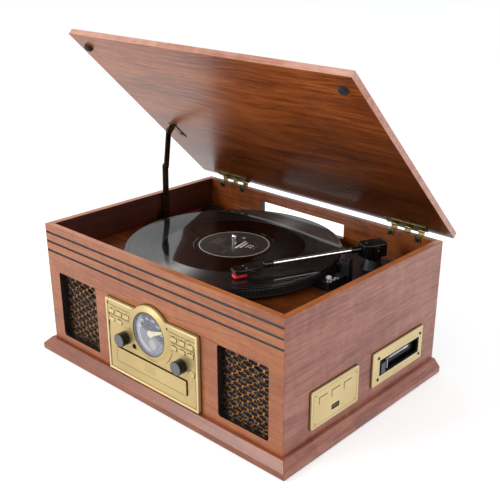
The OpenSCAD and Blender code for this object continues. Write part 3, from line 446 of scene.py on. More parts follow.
def dial_print():
    """Blue-grey dial card, dark above; its paler lower half is painted reflection of the lens; a pale band
    round its left side.
    """
    net = Net("dial_card", rough=0.35, specular=0.4)
    x, _, z = net.split(net.at)
    dz = net.math("SUBTRACT", z, DIAL_Z * MM)
    radius = net.distance(net.add("CombineXYZ", X=x, Y=dz).outputs[0])
    cloud = net.noise(net.at, 420.0, 3.0, 0.6)
    # Painted reflection of the lens: the lower part of the card paler.
    lens_reflection_share = net.span(net.times(x, 0.3, dz), 0.003, -0.003)
    upper_tone = net.ramp(cloud, [(0.35, rgb(62, 64, 82)), (0.65, rgb(82, 84, 102))])
    reflected_tone = net.ramp(cloud, [(0.35, rgb(134, 136, 148)), (0.65, rgb(152, 154, 164))])
    tone = net.mix(lens_reflection_share, upper_tone, reflected_tone)
    band = net.between(radius, 0.0205, 0.0275)
    left = net.span(net.times(dz, 0.35, x), -0.006, -0.014)
    tone = net.mix(net.times(net.times(band, left), 0.75), tone, rgb(206, 208, 214))
    rings = net.math("MAXIMUM", net.between(radius, 0.0275, 0.028), net.between(radius, 0.02, 0.0205))
    tone = net.mix(net.times(rings, 0.7), tone, rgb(48, 52, 70))
    spot_x = net.math("SUBTRACT", x, 0.003)
    spot_z = net.math("ADD", dz, 0.0145)
    patch = net.distance(net.add("CombineXYZ", X=spot_x, Y=spot_z).outputs[0])
    pale = net.span(patch, 0.0085, 0.005)
    net.bump(cloud, 0.05, 0.0001)
    return net.done(net.mix(net.times(pale, 0.55), tone, rgb(214, 214, 204)))


def lens_clear():
    net = Net("lens_clear", rough=0.04, specular=0.9, coat=0.6, coat_rough=0.03)
    haze = net.noise(net.at, 120.0, 3.0)
    net.set("Alpha", net.span(haze, 0.3, 0.7, 0.05, 0.09))
    return net.done(net.ramp(haze, [(0.3, rgb(225, 230, 238)), (0.7, rgb(240, 243, 248))]))


def smoked():
    net = Net("smoked", rough=0.12, specular=0.12)
    haze = net.noise(net.at, 80.0, 3.0)
    net.set("Roughness", net.span(haze, 0.3, 0.7, 0.1, 0.2))
    return net.done(net.ramp(haze, [(0.3, rgb(7, 7, 9)), (0.7, rgb(13, 13, 16))]))


def terminals():
    net = Net("terminals", rough=0.45)
    x, y, _ = net.split(net.at)
    fine = net.noise(net.at, 1500.0, 3.0)
    black = net.ramp(fine, [(0.3, rgb(20, 20, 21)), (0.7, rgb(30, 30, 32))])
    proud = net.above(y, (Y_BACK + DY + 1.7) * MM)
    near = net.between(x, 0.07, 0.088)
    colour = net.mix(near, rgb(225, 222, 214), rgb(178, 28, 24))
    net.bump(fine, 0.12, 0.0001)
    return net.done(net.mix(proud, black, colour))


def circuit():
    net = Net("circuit", rough=0.4)
    track = net.add("TexBrick", net.placed(net.at, scale=(90, 90, 90)), Color1=rgb(22, 92, 50),
                    Color2=rgb(30, 108, 58), Mortar=rgb(150, 120, 60))
    parts = net.above(net.split(net.at)[2], BOARD_TOP)
    speck = net.noise(net.at, 300.0, 2.0)
    tall = net.ramp(speck, [(0.4, rgb(40, 40, 46)), (0.6, rgb(150, 140, 100))])
    return net.done(net.mix(parts, track.outputs["Color"], tall))


GILT = gilt()
GILT_KEY = gilt("gilt_key", rgb(218, 198, 146), rgb(202, 181, 128), 0.36)
# Paler gilt for raised rims and lips: painted highlight on their edges.
GILT_HIGHLIGHT = gilt("gilt_edge_highlight", rgb(234, 217, 170), rgb(220, 200, 150), 0.3)
# The side plates' gilt is the same finish painted paler: painted light on the side.
GILT_SIDE_PALER = gilt("gilt_side_painted_paler", rgb(224, 204, 154), rgb(208, 187, 136), 0.4)
DRAWER_GILT = gilt("gilt_drawer", black_beyond=(DRAWER_Y + DY + 0.4) * MM)
BRASS = metal("aged_brass", rgb(178, 164, 122), rgb(64, 56, 38), 0.34, wear=0.7)
DARK_BRASS = metal("dark_brass", rgb(128, 112, 74), rgb(22, 19, 13), 0.34, wear=0.75)
STAY_BRASS = metal("stay_brass", rgb(84, 72, 48), rgb(30, 25, 17), 0.38)
BRONZE = metal("bronze_web", rgb(118, 86, 56), rgb(36, 27, 19), 0.3, wear=0.8)
BRONZE_HIGHLIGHT = metal("bronze_node_highlight", rgb(202, 136, 70), rgb(104, 68, 36), 0.28, wear=0.8)
CHROME = metal("chrome", rgb(236, 236, 240), rgb(214, 214, 220), 0.08)
STEEL = metal("plated_steel", rgb(190, 190, 194), rgb(150, 150, 156), 0.3)
BRIGHT_BRASS = metal("turned_brass", rgb(226, 190, 110), rgb(190, 150, 80), 0.25)
BLACK = plastic("black_moulded", rgb(15, 15, 17), 0.42, specular=0.35)
GLOSS = plastic("black_gloss", rgb(10, 10, 12), 0.22, 0.04, specular=0.4)
KNOB_SIDE = plastic("knob_side", rgb(7, 7, 10), 0.3, 0.04, specular=0.3)
RUBBER = plastic("rubber", rgb(20, 19, 19), 0.8, 0.35)
KNOB_END = plastic("knob_end", rgb(92, 94, 100), 0.34, 0.06)
GREY = plastic("grey_moulded", rgb(66, 67, 76), 0.35)
# Pale flap edges, painted paler as painted reflection.
PALE_GREY_SHEEN = plastic("pale_grey_sheen", rgb(196, 192, 214), 0.14, 0.05, rgb(170, 168, 190), 0.7)
# White for the speed knob, and for the flap's white glint, a painted highlight.
WHITE_KNOB_AND_GLINT = plastic("white_knob_and_glint", rgb(236, 236, 238), 0.3, 0.05)
CREAM = plastic("cream", rgb(232, 218, 184), 0.4, 0.08)
RED = plastic("stylus_red", rgb(226, 10, 24), 0.24, 0.05, specular=0.4)
DARK_SCREW = metal("dark_screw", rgb(60, 56, 52), rgb(22, 20, 19), 0.4)
BEZEL = plastic("bezel", rgb(9, 9, 10), 0.6, 0.1, specular=0.15)
INK = plastic("ink", rgb(70, 54, 26), 0.5, 0.05)
FAINT_INK = plastic("faint_ink", rgb(150, 128, 84), 0.5, 0.05)
# Black parts, and painted shade in gaps, recesses and under raised edges.
BLACK_AND_SHADE = plastic("black_and_painted_shade", rgb(14, 12, 10), 0.7, 0.05)
LABEL_GREY = plastic("label_grey", rgb(128, 120, 110), 0.5, 0.05)
WHITE_PRINT = plastic("white_print", rgb(226, 226, 224), 0.5, 0.04)
LINER = plastic("dial_liner", rgb(146, 148, 160), 0.4, 0.05)
DIAL_INK = plastic("dial_ink", rgb(44, 48, 66), 0.5, 0.04)
CLOTH = grille_cloth()
PLATTER = plastic("platter_black", rgb(26, 26, 29), 0.3, 0.05)

# Homes of the pieces: the body that each rides on and a slot name
PANEL = ("cabinet", "gilt_panel")
DIAL = ("cabinet", "dial_grey")
FITTING = ("cabinet", "black_plastic")
SCREWS = ("cabinet", "dark_screws")
GRILLE = ("cabinet", "bronze_mesh")
DRAWER = ("disc_drawer", "gilt_panel")
FLAP = ("cassette_flap", "smoked")
DISC = ("platter", "vinyl")
TURNING = ("platter", "platter_black")
ARM_PART = ("arm", "arm_chrome")
HEAD = ("arm", "gloss_black")
SIDES = ((-1, "left"), (1, "right"))
CORNERS = ((-1, -1), (1, -1), (1, 1), (-1, 1))


def paint(material, name):
    if not nodes[name].material_slots:
        nodes[name].data.materials.append(material)
    for place in nodes[name].material_slots:
        place.material = material


CREASE = 32


def soften(obj, width, segments=2):
    """Rounds the hard edges with modifiers alone."""
    weld = obj.modifiers.new("weld", "WELD")
    weld.merge_threshold = 0.00001
    bevel = obj.modifiers.new("bevel", "BEVEL")
    bevel.width = width * MM
    bevel.segments = segments
    bevel.limit_method = "ANGLE"
    bevel.angle_limit = radians(CREASE)
    bevel.use_clamp_overlap = False


def add_object(name, data):
    obj = bpy.data.objects.new(name, data)
    bpy.context.scene.collection.objects.link(obj)
    return obj


def add_piece(name, mesh, matrix, home):
    """An object of the mesh, attached to the body named first in home; the slot name in home is not used."""
    obj = add_object(name, mesh)
    obj.matrix_world = matrix
    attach(obj, home[0])
    return obj


def piece(name, points, faces, matrix, material, home, smooth=CREASE, weld=0.0):
    """A mesh piece from millimetre points; corners closer than weld are joined."""
    mesh = bpy.data.meshes.new(name)
    mesh.from_pydata([tuple(c * MM for c in p) for p in points], [], faces)
    work = bmesh.new()
    work.from_mesh(mesh)
    if weld:
        bmesh.ops.remove_doubles(work, verts=work.verts, dist=weld * MM)
    bmesh.ops.recalc_face_normals(work, faces=work.faces)
    work.to_mesh(mesh)
    work.free()
    mesh.materials.append(material)
    mesh.shade_smooth()
    mesh.set_sharp_from_angle(angle=radians(smooth))
    return add_piece(name, mesh, matrix, home)


def move(x, y, z):
    return Matrix.Translation(Vector((x, y, z)) * MM)


def spot(x, y, z, direction=(0, 0, 1), spin=0.0):
    """Matrix at a place, its Z axis along direction; for straight up, its X and Y point backwards."""
    turn = Vector(direction).to_track_quat("Z", "Y").to_matrix().to_4x4()
    return move(x, y + DY, z) @ turn @ Matrix.Rotation(spin, 4, "Z")


def lathe(name, profile, matrix, material, home, segments=64, ribs=None, smooth=CREASE):
    """Solid of revolution about Z from (radius, height) pairs; ribs = (first, last, count, depth)."""
    points, rings, faces = [], [], []
    for index, (radius, height) in enumerate(profile):
        if radius < 1e-6:
            rings.append([len(points)] * segments)
            points.append((0, 0, height))
            continue
        rings.append(range(len(points), len(points) + segments))
        depth = ribs[3] if ribs and ribs[0] <= index <= ribs[1] else 0
        for i in range(segments):
            a = 2 * pi * i / segments
            r = radius - depth * (0.5 - 0.5 * cos(a * ribs[2])) if depth else radius
            points.append((r * cos(a), r * sin(a), height))
    for low, high in zip(rings, rings[1:]):
        for i in range(segments):
            j = (i + 1) % segments
            face = tuple(dict.fromkeys((low[i], low[j], high[j], high[i])))
            if len(face) > 2:
                faces.append(face)
    return piece(name, points, faces, matrix, material, home, smooth)


def bands(count, loops, closed=False):
    """Quads between loops of count points; closed joins the last loop to the first."""
    total = count * loops
    faces = []
    for k in range(0, total if closed else total - count, count):
        for i in range(count):
            j = (i + 1) % count
            faces.append((k + i, k + j, (k + count + j) % total, (k + count + i) % total))
    return faces


def slab(name, outline, low, high, matrix, material, home, round_off=0.0, segments=2):
    """A flat outline in XY, drawn up from low to high."""
    count = len(outline)
    points = [(x, y, z) for z in (low, high) for x, y in outline]
    faces = [tuple(range(count)), tuple(range(count, 2 * count))]
    made = piece(name, points, faces + bands(count, 2), matrix, material, home)
    if round_off:
        soften(made, round_off, segments)
    return made


def ring_slab(name, outer, inner, low, high, matrix, material, home):
    """A flat frame between two outlines that have the same number of corners."""
    loops = ((inner, low), (outer, low), (outer, high), (inner, high))
    points = [(x, y, z) for loop, z in loops for x, y in loop]
    return piece(name, points, bands(len(outer), len(loops), closed=True), matrix, material, home)


def circle(radius, segments=48):
    return [(radius * cos(2 * pi * i / segments), radius * sin(2 * pi * i / segments))
            for i in range(segments)]


def flat_ring(name, radius, thick, matrix, material, home, low=-0.2, high=0.06):
    return ring_slab(name, circle(radius + thick), circle(radius), low, high, matrix, material, home)


def round_outline(w, h, r, steps=6):
    out = []
    for cx, cy, start in ((w / 2 - r, h / 2 - r, 0), (-w / 2 + r, h / 2 - r, 90),
                          (-w / 2 + r, -h / 2 + r, 180), (w / 2 - r, -h / 2 + r, 270)):
        for i in range(steps + 1):
            a = radians(start + 90 * i / steps)
            out.append((cx + r * cos(a), cy + r * sin(a)))
    return out


def front_at(x, z, y=Y_PLATE):
    """For a drawing on the front: its X goes right, its Y up, its Z out."""
    axes = Matrix(((1, 0, 0, 0), (0, 0, -1, 0), (0, 1, 0, 0), (0, 0, 0, 1)))
    return move(x, y + DY, z) @ axes


def side_at(y, z, x=X_SIDE):
    """For a drawing on the right side: its X goes back, its Y up, its Z out."""
    axes = Matrix(((0, 0, 1, 0), (1, 0, 0, 0), (0, 1, 0, 0), (0, 0, 0, 1)))
    return move(x, y + DY, z) @ axes


def lettering(name, words, size, matrix, material, home, lift=0.06):
    curve = bpy.data.curves.new(name, "FONT")
    curve.body = words
    curve.size = size * MM
    curve.extrude = lift * MM
    curve.align_x = "CENTER"
    curve.align_y = "CENTER"
    flat = add_object(name + "_draft", curve)
    mesh = bpy.data.meshes.new_from_object(flat.evaluated_get(bpy.context.evaluated_depsgraph_get()))
    bpy.data.objects.remove(flat)
    mesh.materials.clear()
    mesh.materials.append(material)
    return add_piece(name, mesh, matrix, home)


def quads(faces, base):
    return [tuple(base + i for i in face) for face in faces]


BOX = ((3, 2, 1, 0), (4, 5, 6, 7), (0, 1, 5, 4), (1, 2, 6, 5), (2, 3, 7, 6), (3, 0, 4, 7))


def strips(name, boxes, matrix, material, home, lift=0.08):
    """Thin strips as one piece; each box is (x0, y0, x1, y1)."""
    points, faces = [], []
    for x0, y0, x1, y1 in boxes:
        faces += quads(BOX, len(points))
        for z in (-0.3, lift):
            points += [(x0, y0, z), (x1, y0, z), (x1, y1, z), (x0, y1, z)]
    return piece(name, points, faces, matrix, material, home)


def frame_strips(x, low, high, wide):
    """Four strips round a rectangle from -x to x and from low to high."""
    return [(-x, low, x, low + wide), (-x, high - wide, x, high),
            (-x, low + wide, wide - x, high - wide), (x - wide, low + wide, x, high - wide)]


def bar(name, points, matrix, material, home, smooth=CREASE):
    """A closed bar through sections of four corners each."""
    end = len(points)
    caps = [(0, 1, 2, 3), (end - 1, end - 2, end - 3, end - 4)]
    return piece(name, points, bands(4, end // 4) + caps, matrix, material, home, smooth)


def arc(name, radius, thick, start, end, matrix, material, home, low=-0.2, high=0.08):
    """A flat printed or filled arc between two angles in degrees, thin at both ends."""
    steps = max(6, int(abs(end - start) / 3))
    points = []
    for i in range(steps + 1):
        share = i / steps
        a = radians(start + (end - start) * share)
        far = radius + thick * sin(pi * share) + 0.01
        for r, z in ((radius, low), (far, low), (far, high), (radius, high)):
            points.append((r * cos(a), r * sin(a), z))
    return bar(name, points, matrix, material, home)


def cross_screw(name, matrix, radius, height, material, home):
    """Pan-head screw with the shade of its cross recess painted as dark strips."""
    profile = [(radius, 0), (radius, height * 0.35), (radius * 0.86, height * 0.75), (radius * 0.5, height),
               (0, height)]
    head = lathe(name, profile, matrix, material, home, 24)
    arm = radius * 0.55
    wide = radius * 0.16
    cross = [(-arm, -wide, arm, wide), (-wide, -arm, wide, arm)]
    strips(name + "_cross", cross, matrix @ move(0, 0, height), BLACK_AND_SHADE, home, 0.03)
    return head


def make_camera():
    back = Vector((sin(CAM_YAW) * cos(CAM_PITCH), -cos(CAM_YAW) * cos(CAM_PITCH), sin(CAM_PITCH)))
    right = Vector((cos(CAM_YAW), sin(CAM_YAW), 0))
    up = back.cross(right)
    level = cos(CAM_ROLL) * right + sin(CAM_ROLL) * up
    upright = cos(CAM_ROLL) * up - sin(CAM_ROLL) * right
    data = bpy.data.cameras.new("camera")
    data.sensor_width = SENSOR
    data.lens = CAM_FOCAL_PX / IMAGE * SENSOR
    data.shift_x = (IMAGE / 2 - CAM_AXIS_PX[0]) / IMAGE
    data.shift_y = (CAM_AXIS_PX[1] - IMAGE / 2) / IMAGE
    data.clip_end = 50
    camera = add_object("camera", data)
    turn = Matrix((level, upright, back)).transposed().to_4x4()
    camera.matrix_world = move(*CAM_PLACE) @ turn
    bpy.context.scene.camera = camera


WORLD_LIGHT = 0.62
WORLD_TINT = (0.97, 0.985, 1.0, 1.0)
FLOOR_TONE = 0.8
FLOOR_GLOW = 0.5
FLOOR_REACH = 6.0


def show(tree, lit, seen, output):
    """Light on things comes from lit; the camera, gloss and clear pieces meet seen."""
    path = add_node(tree, "LightPath")
    share = path.outputs["Is Camera Ray"]
    for ray in ("Is Glossy Ray", "Is Transmission Ray"):
        most = add_node(tree, "Math", share, path.outputs[ray])
        most.operation = "MAXIMUM"
        share = most.outputs[0]
    choice = add_node(tree, "MixShader", share, lit.outputs[0], seen.outputs[0])
    add_node(tree, output, choice.outputs[0])


def make_world():
    world = bpy.data.worlds.new("studio")
    bpy.context.scene.world = world
    tree = empty_tree(world)
    lit = add_node(tree, "Background", WORLD_TINT, WORLD_LIGHT)
    seen = add_node(tree, "Background", (1, 1, 1, 1), 1.0)
    show(tree, lit, seen, "OutputWorld")


def make_floor():
    paper = bpy.data.materials.new("studio_paper")
    tree = empty_tree(paper)
    matte = add_node(tree, "BsdfDiffuse", (FLOOR_TONE, FLOOR_TONE, FLOOR_TONE, 1))
    glow = add_node(tree, "Emission", Strength=FLOOR_GLOW)
    both = add_node(tree, "AddShader", matte.outputs[0], glow.outputs[0])
    show(tree, matte, both, "OutputMaterial")
    mesh = bpy.data.meshes.new("studio_floor")
    mesh.from_pydata([(x * FLOOR_REACH, y * FLOOR_REACH, 0) for x, y in CORNERS], [], [(0, 1, 2, 3)])
    mesh.materials.append(paper)
    floor = add_object("studio_floor", mesh)


def lamp(name, place, target, size, power, colour=(1, 1, 1)):
    data = bpy.data.lights.new(name, "AREA")
    data.shape = "SQUARE"
    data.size = size
    data.energy = power
    data.color = colour
    obj = add_object(name, data)
    place = Vector(place)
    turn = (Vector(target) - place).to_track_quat("-Z", "Y").to_matrix().to_4x4()
    obj.matrix_world = Matrix.Translation(place) @ turn
    return obj


def make_lights():
    lamp("key", (-1.3, -2.3, 1.5), (0, 0, 0.1), 1.3, 46, (1.0, 0.985, 0.96))
    lamp("side_fill", (2.6, 0.1, 1.1), (0, 0, 0.12), 1.4, 14, (0.92, 0.95, 1.0))


def light_grooves(record):
    """A card that only the record's gloss sees, for the light across its grooves."""
    card = lamp("groove_card", (-1.3, -0.85, 1.7), (0, 0, 0.17), 1.0, 300)
    card.visible_diffuse = False
    seen_by = bpy.data.collections.new("groove_card_receivers")
    seen_by.objects.link(record)
    card.light_linking.receiver_collection = seen_by


KEYS = [f"key_left_{i}" for i in range(1, 6)] + [f"key_right_{i}" for i in range(1, 7)]

# Material of each carried-over node, and how far its hard edges are rounded
DRESS = (
    (front_wood(), 0.5, "front_panel"),
    (side_wood("left_wood", INNER_SHADE), 0.5, "left_panel"),
    (side_wood("right_wood", INNER), 0.5, "right_panel"),
    (rear_wood(), 0.5, "rear_panel"),
    (inner_wood("deck_wood", DECK_SHADE), 0, "deck_board"),
    (inner_wood("board_wood", INNER), 0, "bottom_board"),
    (moulding_wood(), 0.6, "base_mouldings"),
    (BRASS, 0, "hinge_wall_leaves"),
    (DARK_BRASS, 0, "lid_fittings"),
    (STAY_BRASS, 0, "stay_wall_bracket"),
    (STAY_BRASS, 0.4, "stay_lower_arm stay_upper_arm"),
    (BLACK, 0, "speakers cd_mechanism cassette_deck"),
    (BLACK, 0.5, "turntable_chassis deck_fittings cue_lever"),
    (GLOSS, 0.4, "arm_yoke"),
    (GREY, 0.5, "cassette_key"),
    (WHITE_KNOB_AND_GLINT, 0, "speed_switch"),
    (STEEL, 0, "drive_motor"),
    (BRIGHT_BRASS, 0, "motor_pulley"),
    (circuit(), 0, "main_board"),
    (terminals(), 0, "rear_terminals"),
    (DARK_SCREW, 0, "wall_screws"),
    (GILT, 0.45, "faceplate"),
    (DRAWER_GILT, 0.35, "cd_tray"),
    (dial_print(), 0, "dial_scale"),
    (lens_clear(), 0, "dial_lens"),
    (CREAM, 0.25, "dial_pointer"),
    (GILT_KEY, 0.35, " ".join(KEYS)),
    (GILT, 0.35, "eject_button"),
    (GILT_SIDE_PALER, 0.35, "media_key_1 media_key_2 media_key_3"),
    (GILT_SIDE_PALER, 0.4, "media_plate cassette_plate"),
    (smoked(), 0.25, "cassette_flap"),
    (lid_wood(), 0.8, "lid"),
)


def dress_nodes():
    for material, width, names in DRESS:
        for name in names.split():
            paint(material, name)
            if width:
                soften(nodes[name], width, 3 if name == "lid" else 2)


def make_feet():
    profile = [(0, 0), (7.2, 0), (8.6, 0.4), (9.0, 1.0), (9.0, 1.5), (0, 1.5)]
    for i, (sx, sy) in enumerate(CORNERS):
        place = spot(sx * FOOT[0], sy * FOOT[1], 0)
        foot = lathe(f"foot_{i + 1}", profile, place, RUBBER, ("cabinet", "rubber_black"), 40)
        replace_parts(foot, "feet")


def make_bumpers():
    """Rubber discs under the lid's front corners, each with a dimple."""
    profile = [(0, 5.7), (6.3, 5.7), (6.0, 3.2), (5.2, 1.4), (4.2, 0.9), (2.6, 0.9), (2.0, 1.7), (0, 1.8)]
    for s, side in SIDES:
        place = open_lid() @ spot(s * 216.25, -159.5, LID_Z - 5.7)
        bumper = lathe(f"bumper_{side}", profile, place, RUBBER, ("lid", "rubber_black"), 40)
        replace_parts(bumper, "lid_bumpers")


def open_lid():
    pivot = move(0, HINGE[0] + DY, HINGE[1])
    return pivot @ Matrix.Rotation(-LID_ANGLE, 4, "X") @ pivot.inverted()


ROW_PITCH = 5.7
HOLE_PERIOD = 17.0
HOLE = (7.2, 2.42)


def grille_cell(cx, cz, half_w, half_h):
    """One brick of the pressed sheet: flat edge, hollow, rolled lip and the wall of its hole."""
    count = 28
    loops = []
    for kind, out in (("brick", 0.0), (1.08, 0.55), (1.0, 0.35), (0.94, -0.4), (0.96, -0.9)):
        loop = []
        for i in range(count):
            a = 2 * pi * (i + 0.5) / count
            x, z = HOLE[0] * cos(a), HOLE[1] * sin(a)
            if kind == "brick":
                reach = min(HOLE_PERIOD / 2 / max(abs(x), 1e-6), ROW_PITCH / 2 / max(abs(z), 1e-6))
                x, z = x * reach, z * reach
            else:
                grow = (kind - 1) * HOLE[1]
                x, z = x + math.copysign(grow, x) * abs(cos(a)) * 1.4, z + math.copysign(grow, z)
            loop.append((min(max(cx + x, -half_w), half_w), min(max(cz + z, -half_h), half_h), out))
        loops.append(loop)
    return [p for loop in loops for p in loop], bands(count, len(loops))


def make_grille(s, side):
    """Pressed bronze sheet with staggered oval holes, before black cloth; the faces at the joints between
    holes carry a painted highlight in brighter bronze.
    """
    half_w, half_h = SPK_HALF
    points, faces = [], []
    rows = int(half_h / ROW_PITCH) + 1
    cols = int(half_w / HOLE_PERIOD) + 2
    for row in range(-rows, rows + 1):
        for col in range(-cols, cols + 1):
            cx = (col + 0.5 * (row % 2)) * HOLE_PERIOD
            cz = row * ROW_PITCH
            if abs(cx) > half_w + 5 or abs(cz) > half_h + 1:
                continue
            more, cell = grille_cell(cx, cz, half_w, half_h)
            faces += quads(cell, len(points))
            points += more
    place = front_at(s * SPK_X, SPK_Z, Y_IN_FRONT + 0.3)
    sheet = piece(f"grille_{side}", points, faces, place, BRONZE, GRILLE, 75, weld=0.01)
    sheet.data.materials.append(BRONZE_HIGHLIGHT)
    for face in sheet.data.polygons:
        nearest = abs(((face.center.x / MM / HOLE_PERIOD * 2) % 2) - 1)
        row = round(face.center.y / MM / ROW_PITCH)
        share = nearest if row % 2 else 1 - nearest
        # Faces at the joints between holes take the brighter bronze: painted highlight.
        if share > (HOLE[0] + 0.35) / (HOLE_PERIOD / 2):
            face.material_index = 1
    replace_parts(sheet, "speaker_grilles")
    cloth = round_outline(2 * half_w, 2 * half_h, 3)
    place = front_at(s * SPK_X, SPK_Z, Y_IN_FRONT + 1.2)
    slab(f"grille_cloth_{side}", cloth, -0.15, 0, place, CLOTH, GRILLE)


def make_faceplate():
    rim = [(-87.2, 128.2), (-33.2, 128.2), (-34, 126.2), (-84.6, 126.2), (-84.6, 25.4), (84.6, 25.4),
           (84.6, 126.2), (34, 126.2), (33.2, 128.2), (87.2, 128.2), (87.2, 22.8), (-87.2, 22.8)]
    # The raised rim is drawn in the paler gilt as a painted highlight on its edges.
    slab("faceplate_rim", rim, -0.2, 0.8, front_at(0, 0), GILT_HIGHLIGHT, PANEL, 0.3)
    # A dark frame round the faceplate's edge on the wood: painted shadow.
    outer = [(-88.1, 129.0), (-88.1, 21.8), (88.1, 21.8), (88.1, 129.0)]
    inner = [(-84.5, 125.5), (-84.5, 25.5), (84.5, 25.5), (84.5, 125.5)]
    ring_slab("faceplate_shadow_gap", outer, inner, 0.0, 0.9, front_at(0, 0, Y_FRONT), BLACK_AND_SHADE, PANEL)
    # A dark ring round the dial's bezel on the wood: painted shadow.
    dial = front_at(0, DIAL_Z, Y_FRONT)
    ring_slab("dial_shadow_gap", circle(39.2, 96), circle(36.0, 96), 0.0, 0.85, dial, BLACK_AND_SHADE, PANEL)
    # The vertical line just inside the rim on the left is painted shade of the rim's step.
    dark = [(-84.0, 105.6, -39.5, 106.5), (39.5, 105.6, 84.0, 106.5), (-83.4, 26.6, -82.4, 96),
            (-86.8, 119.6, -82.0, 122.6), (30.6, 119.2, 34.6, 122.8)]
    strips("faceplate_lines", dark, front_at(0, 0), BLACK_AND_SHADE, PANEL, 0.1)
    faint = [(-82.6, 119.0, -38, 119.8), (36.5, 119.0, 83.2, 119.8), (-82.6, 26.6, 83.4, 27.2),
             (82.8, 27.2, 83.4, 104)]
    strips("faceplate_faint_lines", faint, front_at(0, 0), INK, PANEL, 0.09)
    # A dark arc beside the dial ring's lower right: painted shadow of its outer edge.
    arc("dial_ring_shadow", 42.5, 1.1, -52, -4, front_at(0, DIAL_Z), INK, PANEL)
    # Dark lines at the drawer front's left and bottom edges: painted shade.
    drawer = [(-67.7, 40.4, -67.1, 61.6), (-67.1, 40.4, 67.2, 41.0)]
    strips("drawer_edge_shade", drawer, front_at(0, 0, DRAWER_Y), INK, DRAWER, 0.07)


def key_places(left_out):
    """Side, row, column and place of each function key; the left lower row lacks one."""
    for s in (-1, 1):
        for row, z in enumerate(KEY_ROWS):
            for col, x in enumerate(KEY_COLS):
                if (s, row, col) != (-1, 1, left_out):
                    yield s, row, col, s * x, z


def sign_outlines(kind, x, z):
    """A triangle, a square, or two triangles that point right or left, about 2 mm high."""
    half = 0.9
    if kind == 1:
        return [[(x + half * i, z + half * j) for i, j in CORNERS]]
    way = -1 if kind == 3 else 1
    marks = ((x - half, half), (x + half, half)) if kind else ((x, 1.0),)
    return [[(cx - way * r * 0.6, z - r), (cx + way * r, z), (cx - way * r * 0.6, z + r)] for cx, r in marks]


def make_key_signs():
    points, faces = [], []
    for s, row, col, x, z in key_places(0):
        for outline in sign_outlines((col + row * 2 + (s > 0)) % 4, x, z + 4.4):
            count = len(outline)
            faces += quads([tuple(range(count, 2 * count))] + bands(count, 2), len(points))
            points += [(px, pz, out) for out in (-0.1, 0.07) for px, pz in outline]
    piece("key_signs", points, faces, front_at(0, 0), INK, PANEL)


def make_dial():
    face = Y_DIAL - 0.03
    flat_ring("lens_seal", 29.4, 1.0, front_at(0, DIAL_Z, Y_PLATE - 2.4), INK, DIAL, -0.3, 0.05)
    liner = [(29.95, -2.8), (29.95, 0), (29.3, 0), (29.3, -2.8), (29.95, -2.8)]
    lathe("dial_liner", liner, front_at(0, DIAL_Z, Y_PLATE - 1.4), LINER, DIAL)
    # A dark crescent at the dial card's lower left: painted shade.
    arc("dial_edge_shade", 27.6, 2.0, 172, 212, front_at(0, DIAL_Z, face), BLACK_AND_SHADE, DIAL, -0.1, 0.06)
    points, faces = [], []
    far = 26.4
    for i in range(41):
        a = radians(-120 + 6 * i)
        long, wide = (1.8, 0.22) if i % 5 else (3.2, 0.35)
        faces += quads(BOX, len(points))
        for z in (-0.1, 0.06):
            for r, w in ((far - long, -wide), (far - long, wide), (far, wide), (far, -wide)):
                points.append((r * sin(a) + w * cos(a), r * cos(a) - w * sin(a), z))
    piece("dial_ticks", points, faces, front_at(0, DIAL_Z, face), DIAL_INK, DIAL)
    for i, number in enumerate(("88", "92", "96", "100", "104", "108")):
        a = radians(-75 + 30 * i)
        place = front_at(20.2 * sin(a), DIAL_Z + 20.2 * cos(a), face)
        lettering(f"dial_number_{number}", number, 5.4, place, WHITE_PRINT, DIAL)


def make_knob(name, x):
    """Turned knob: a smooth side with a fine bead, a chamfered edge and a dished satin end."""
    skirt = [(0, 0), (9.0, 0), (9.4, 0.4), (9.4, 1.6), (9.15, 1.9), (9.15, 8.8), (9.4, 9.1), (9.4, 9.9),
             (9.0, 10.5), (8.7, 10.5), (8.6, 10.35), (0, 10.3)]
    base = spot(x, Y_PLATE - 1, KNOB_Z, (0, -1, 0))
    home = (name, "gloss_black")
    knob = lathe(name + "_skirt", skirt, base, KNOB_SIDE, home, 96)
    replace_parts(knob, name)
    end = [(8.58, 10.2), (8.58, 10.42), (8.2, 10.44), (3, 10.36), (0, 10.34)]
    lathe(name + "_end", end, base, KNOB_END, home, 64)
    lathe(name + "_shaft", [(0, -7), (3, -7), (3, 0.5), (0, 0.5)], base, STEEL, home, 32)


def make_key_outlines():
    """Painted shade in the gaps round the function keys, a little wider below and on the left."""
    outer = round_outline(11.7, 7.2, 2.5)
    inner = [(px - 0.15, pz + 0.1) for px, pz in round_outline(11.1, 6.6, 2.1)]
    for s, row, col, x, z in key_places(2):
        name = f"key_gap_{'left' if s < 0 else 'right'}_{row}_{col}"
        ring_slab(name, outer, inner, -0.3, 0.05, front_at(x, z), INK, PANEL)


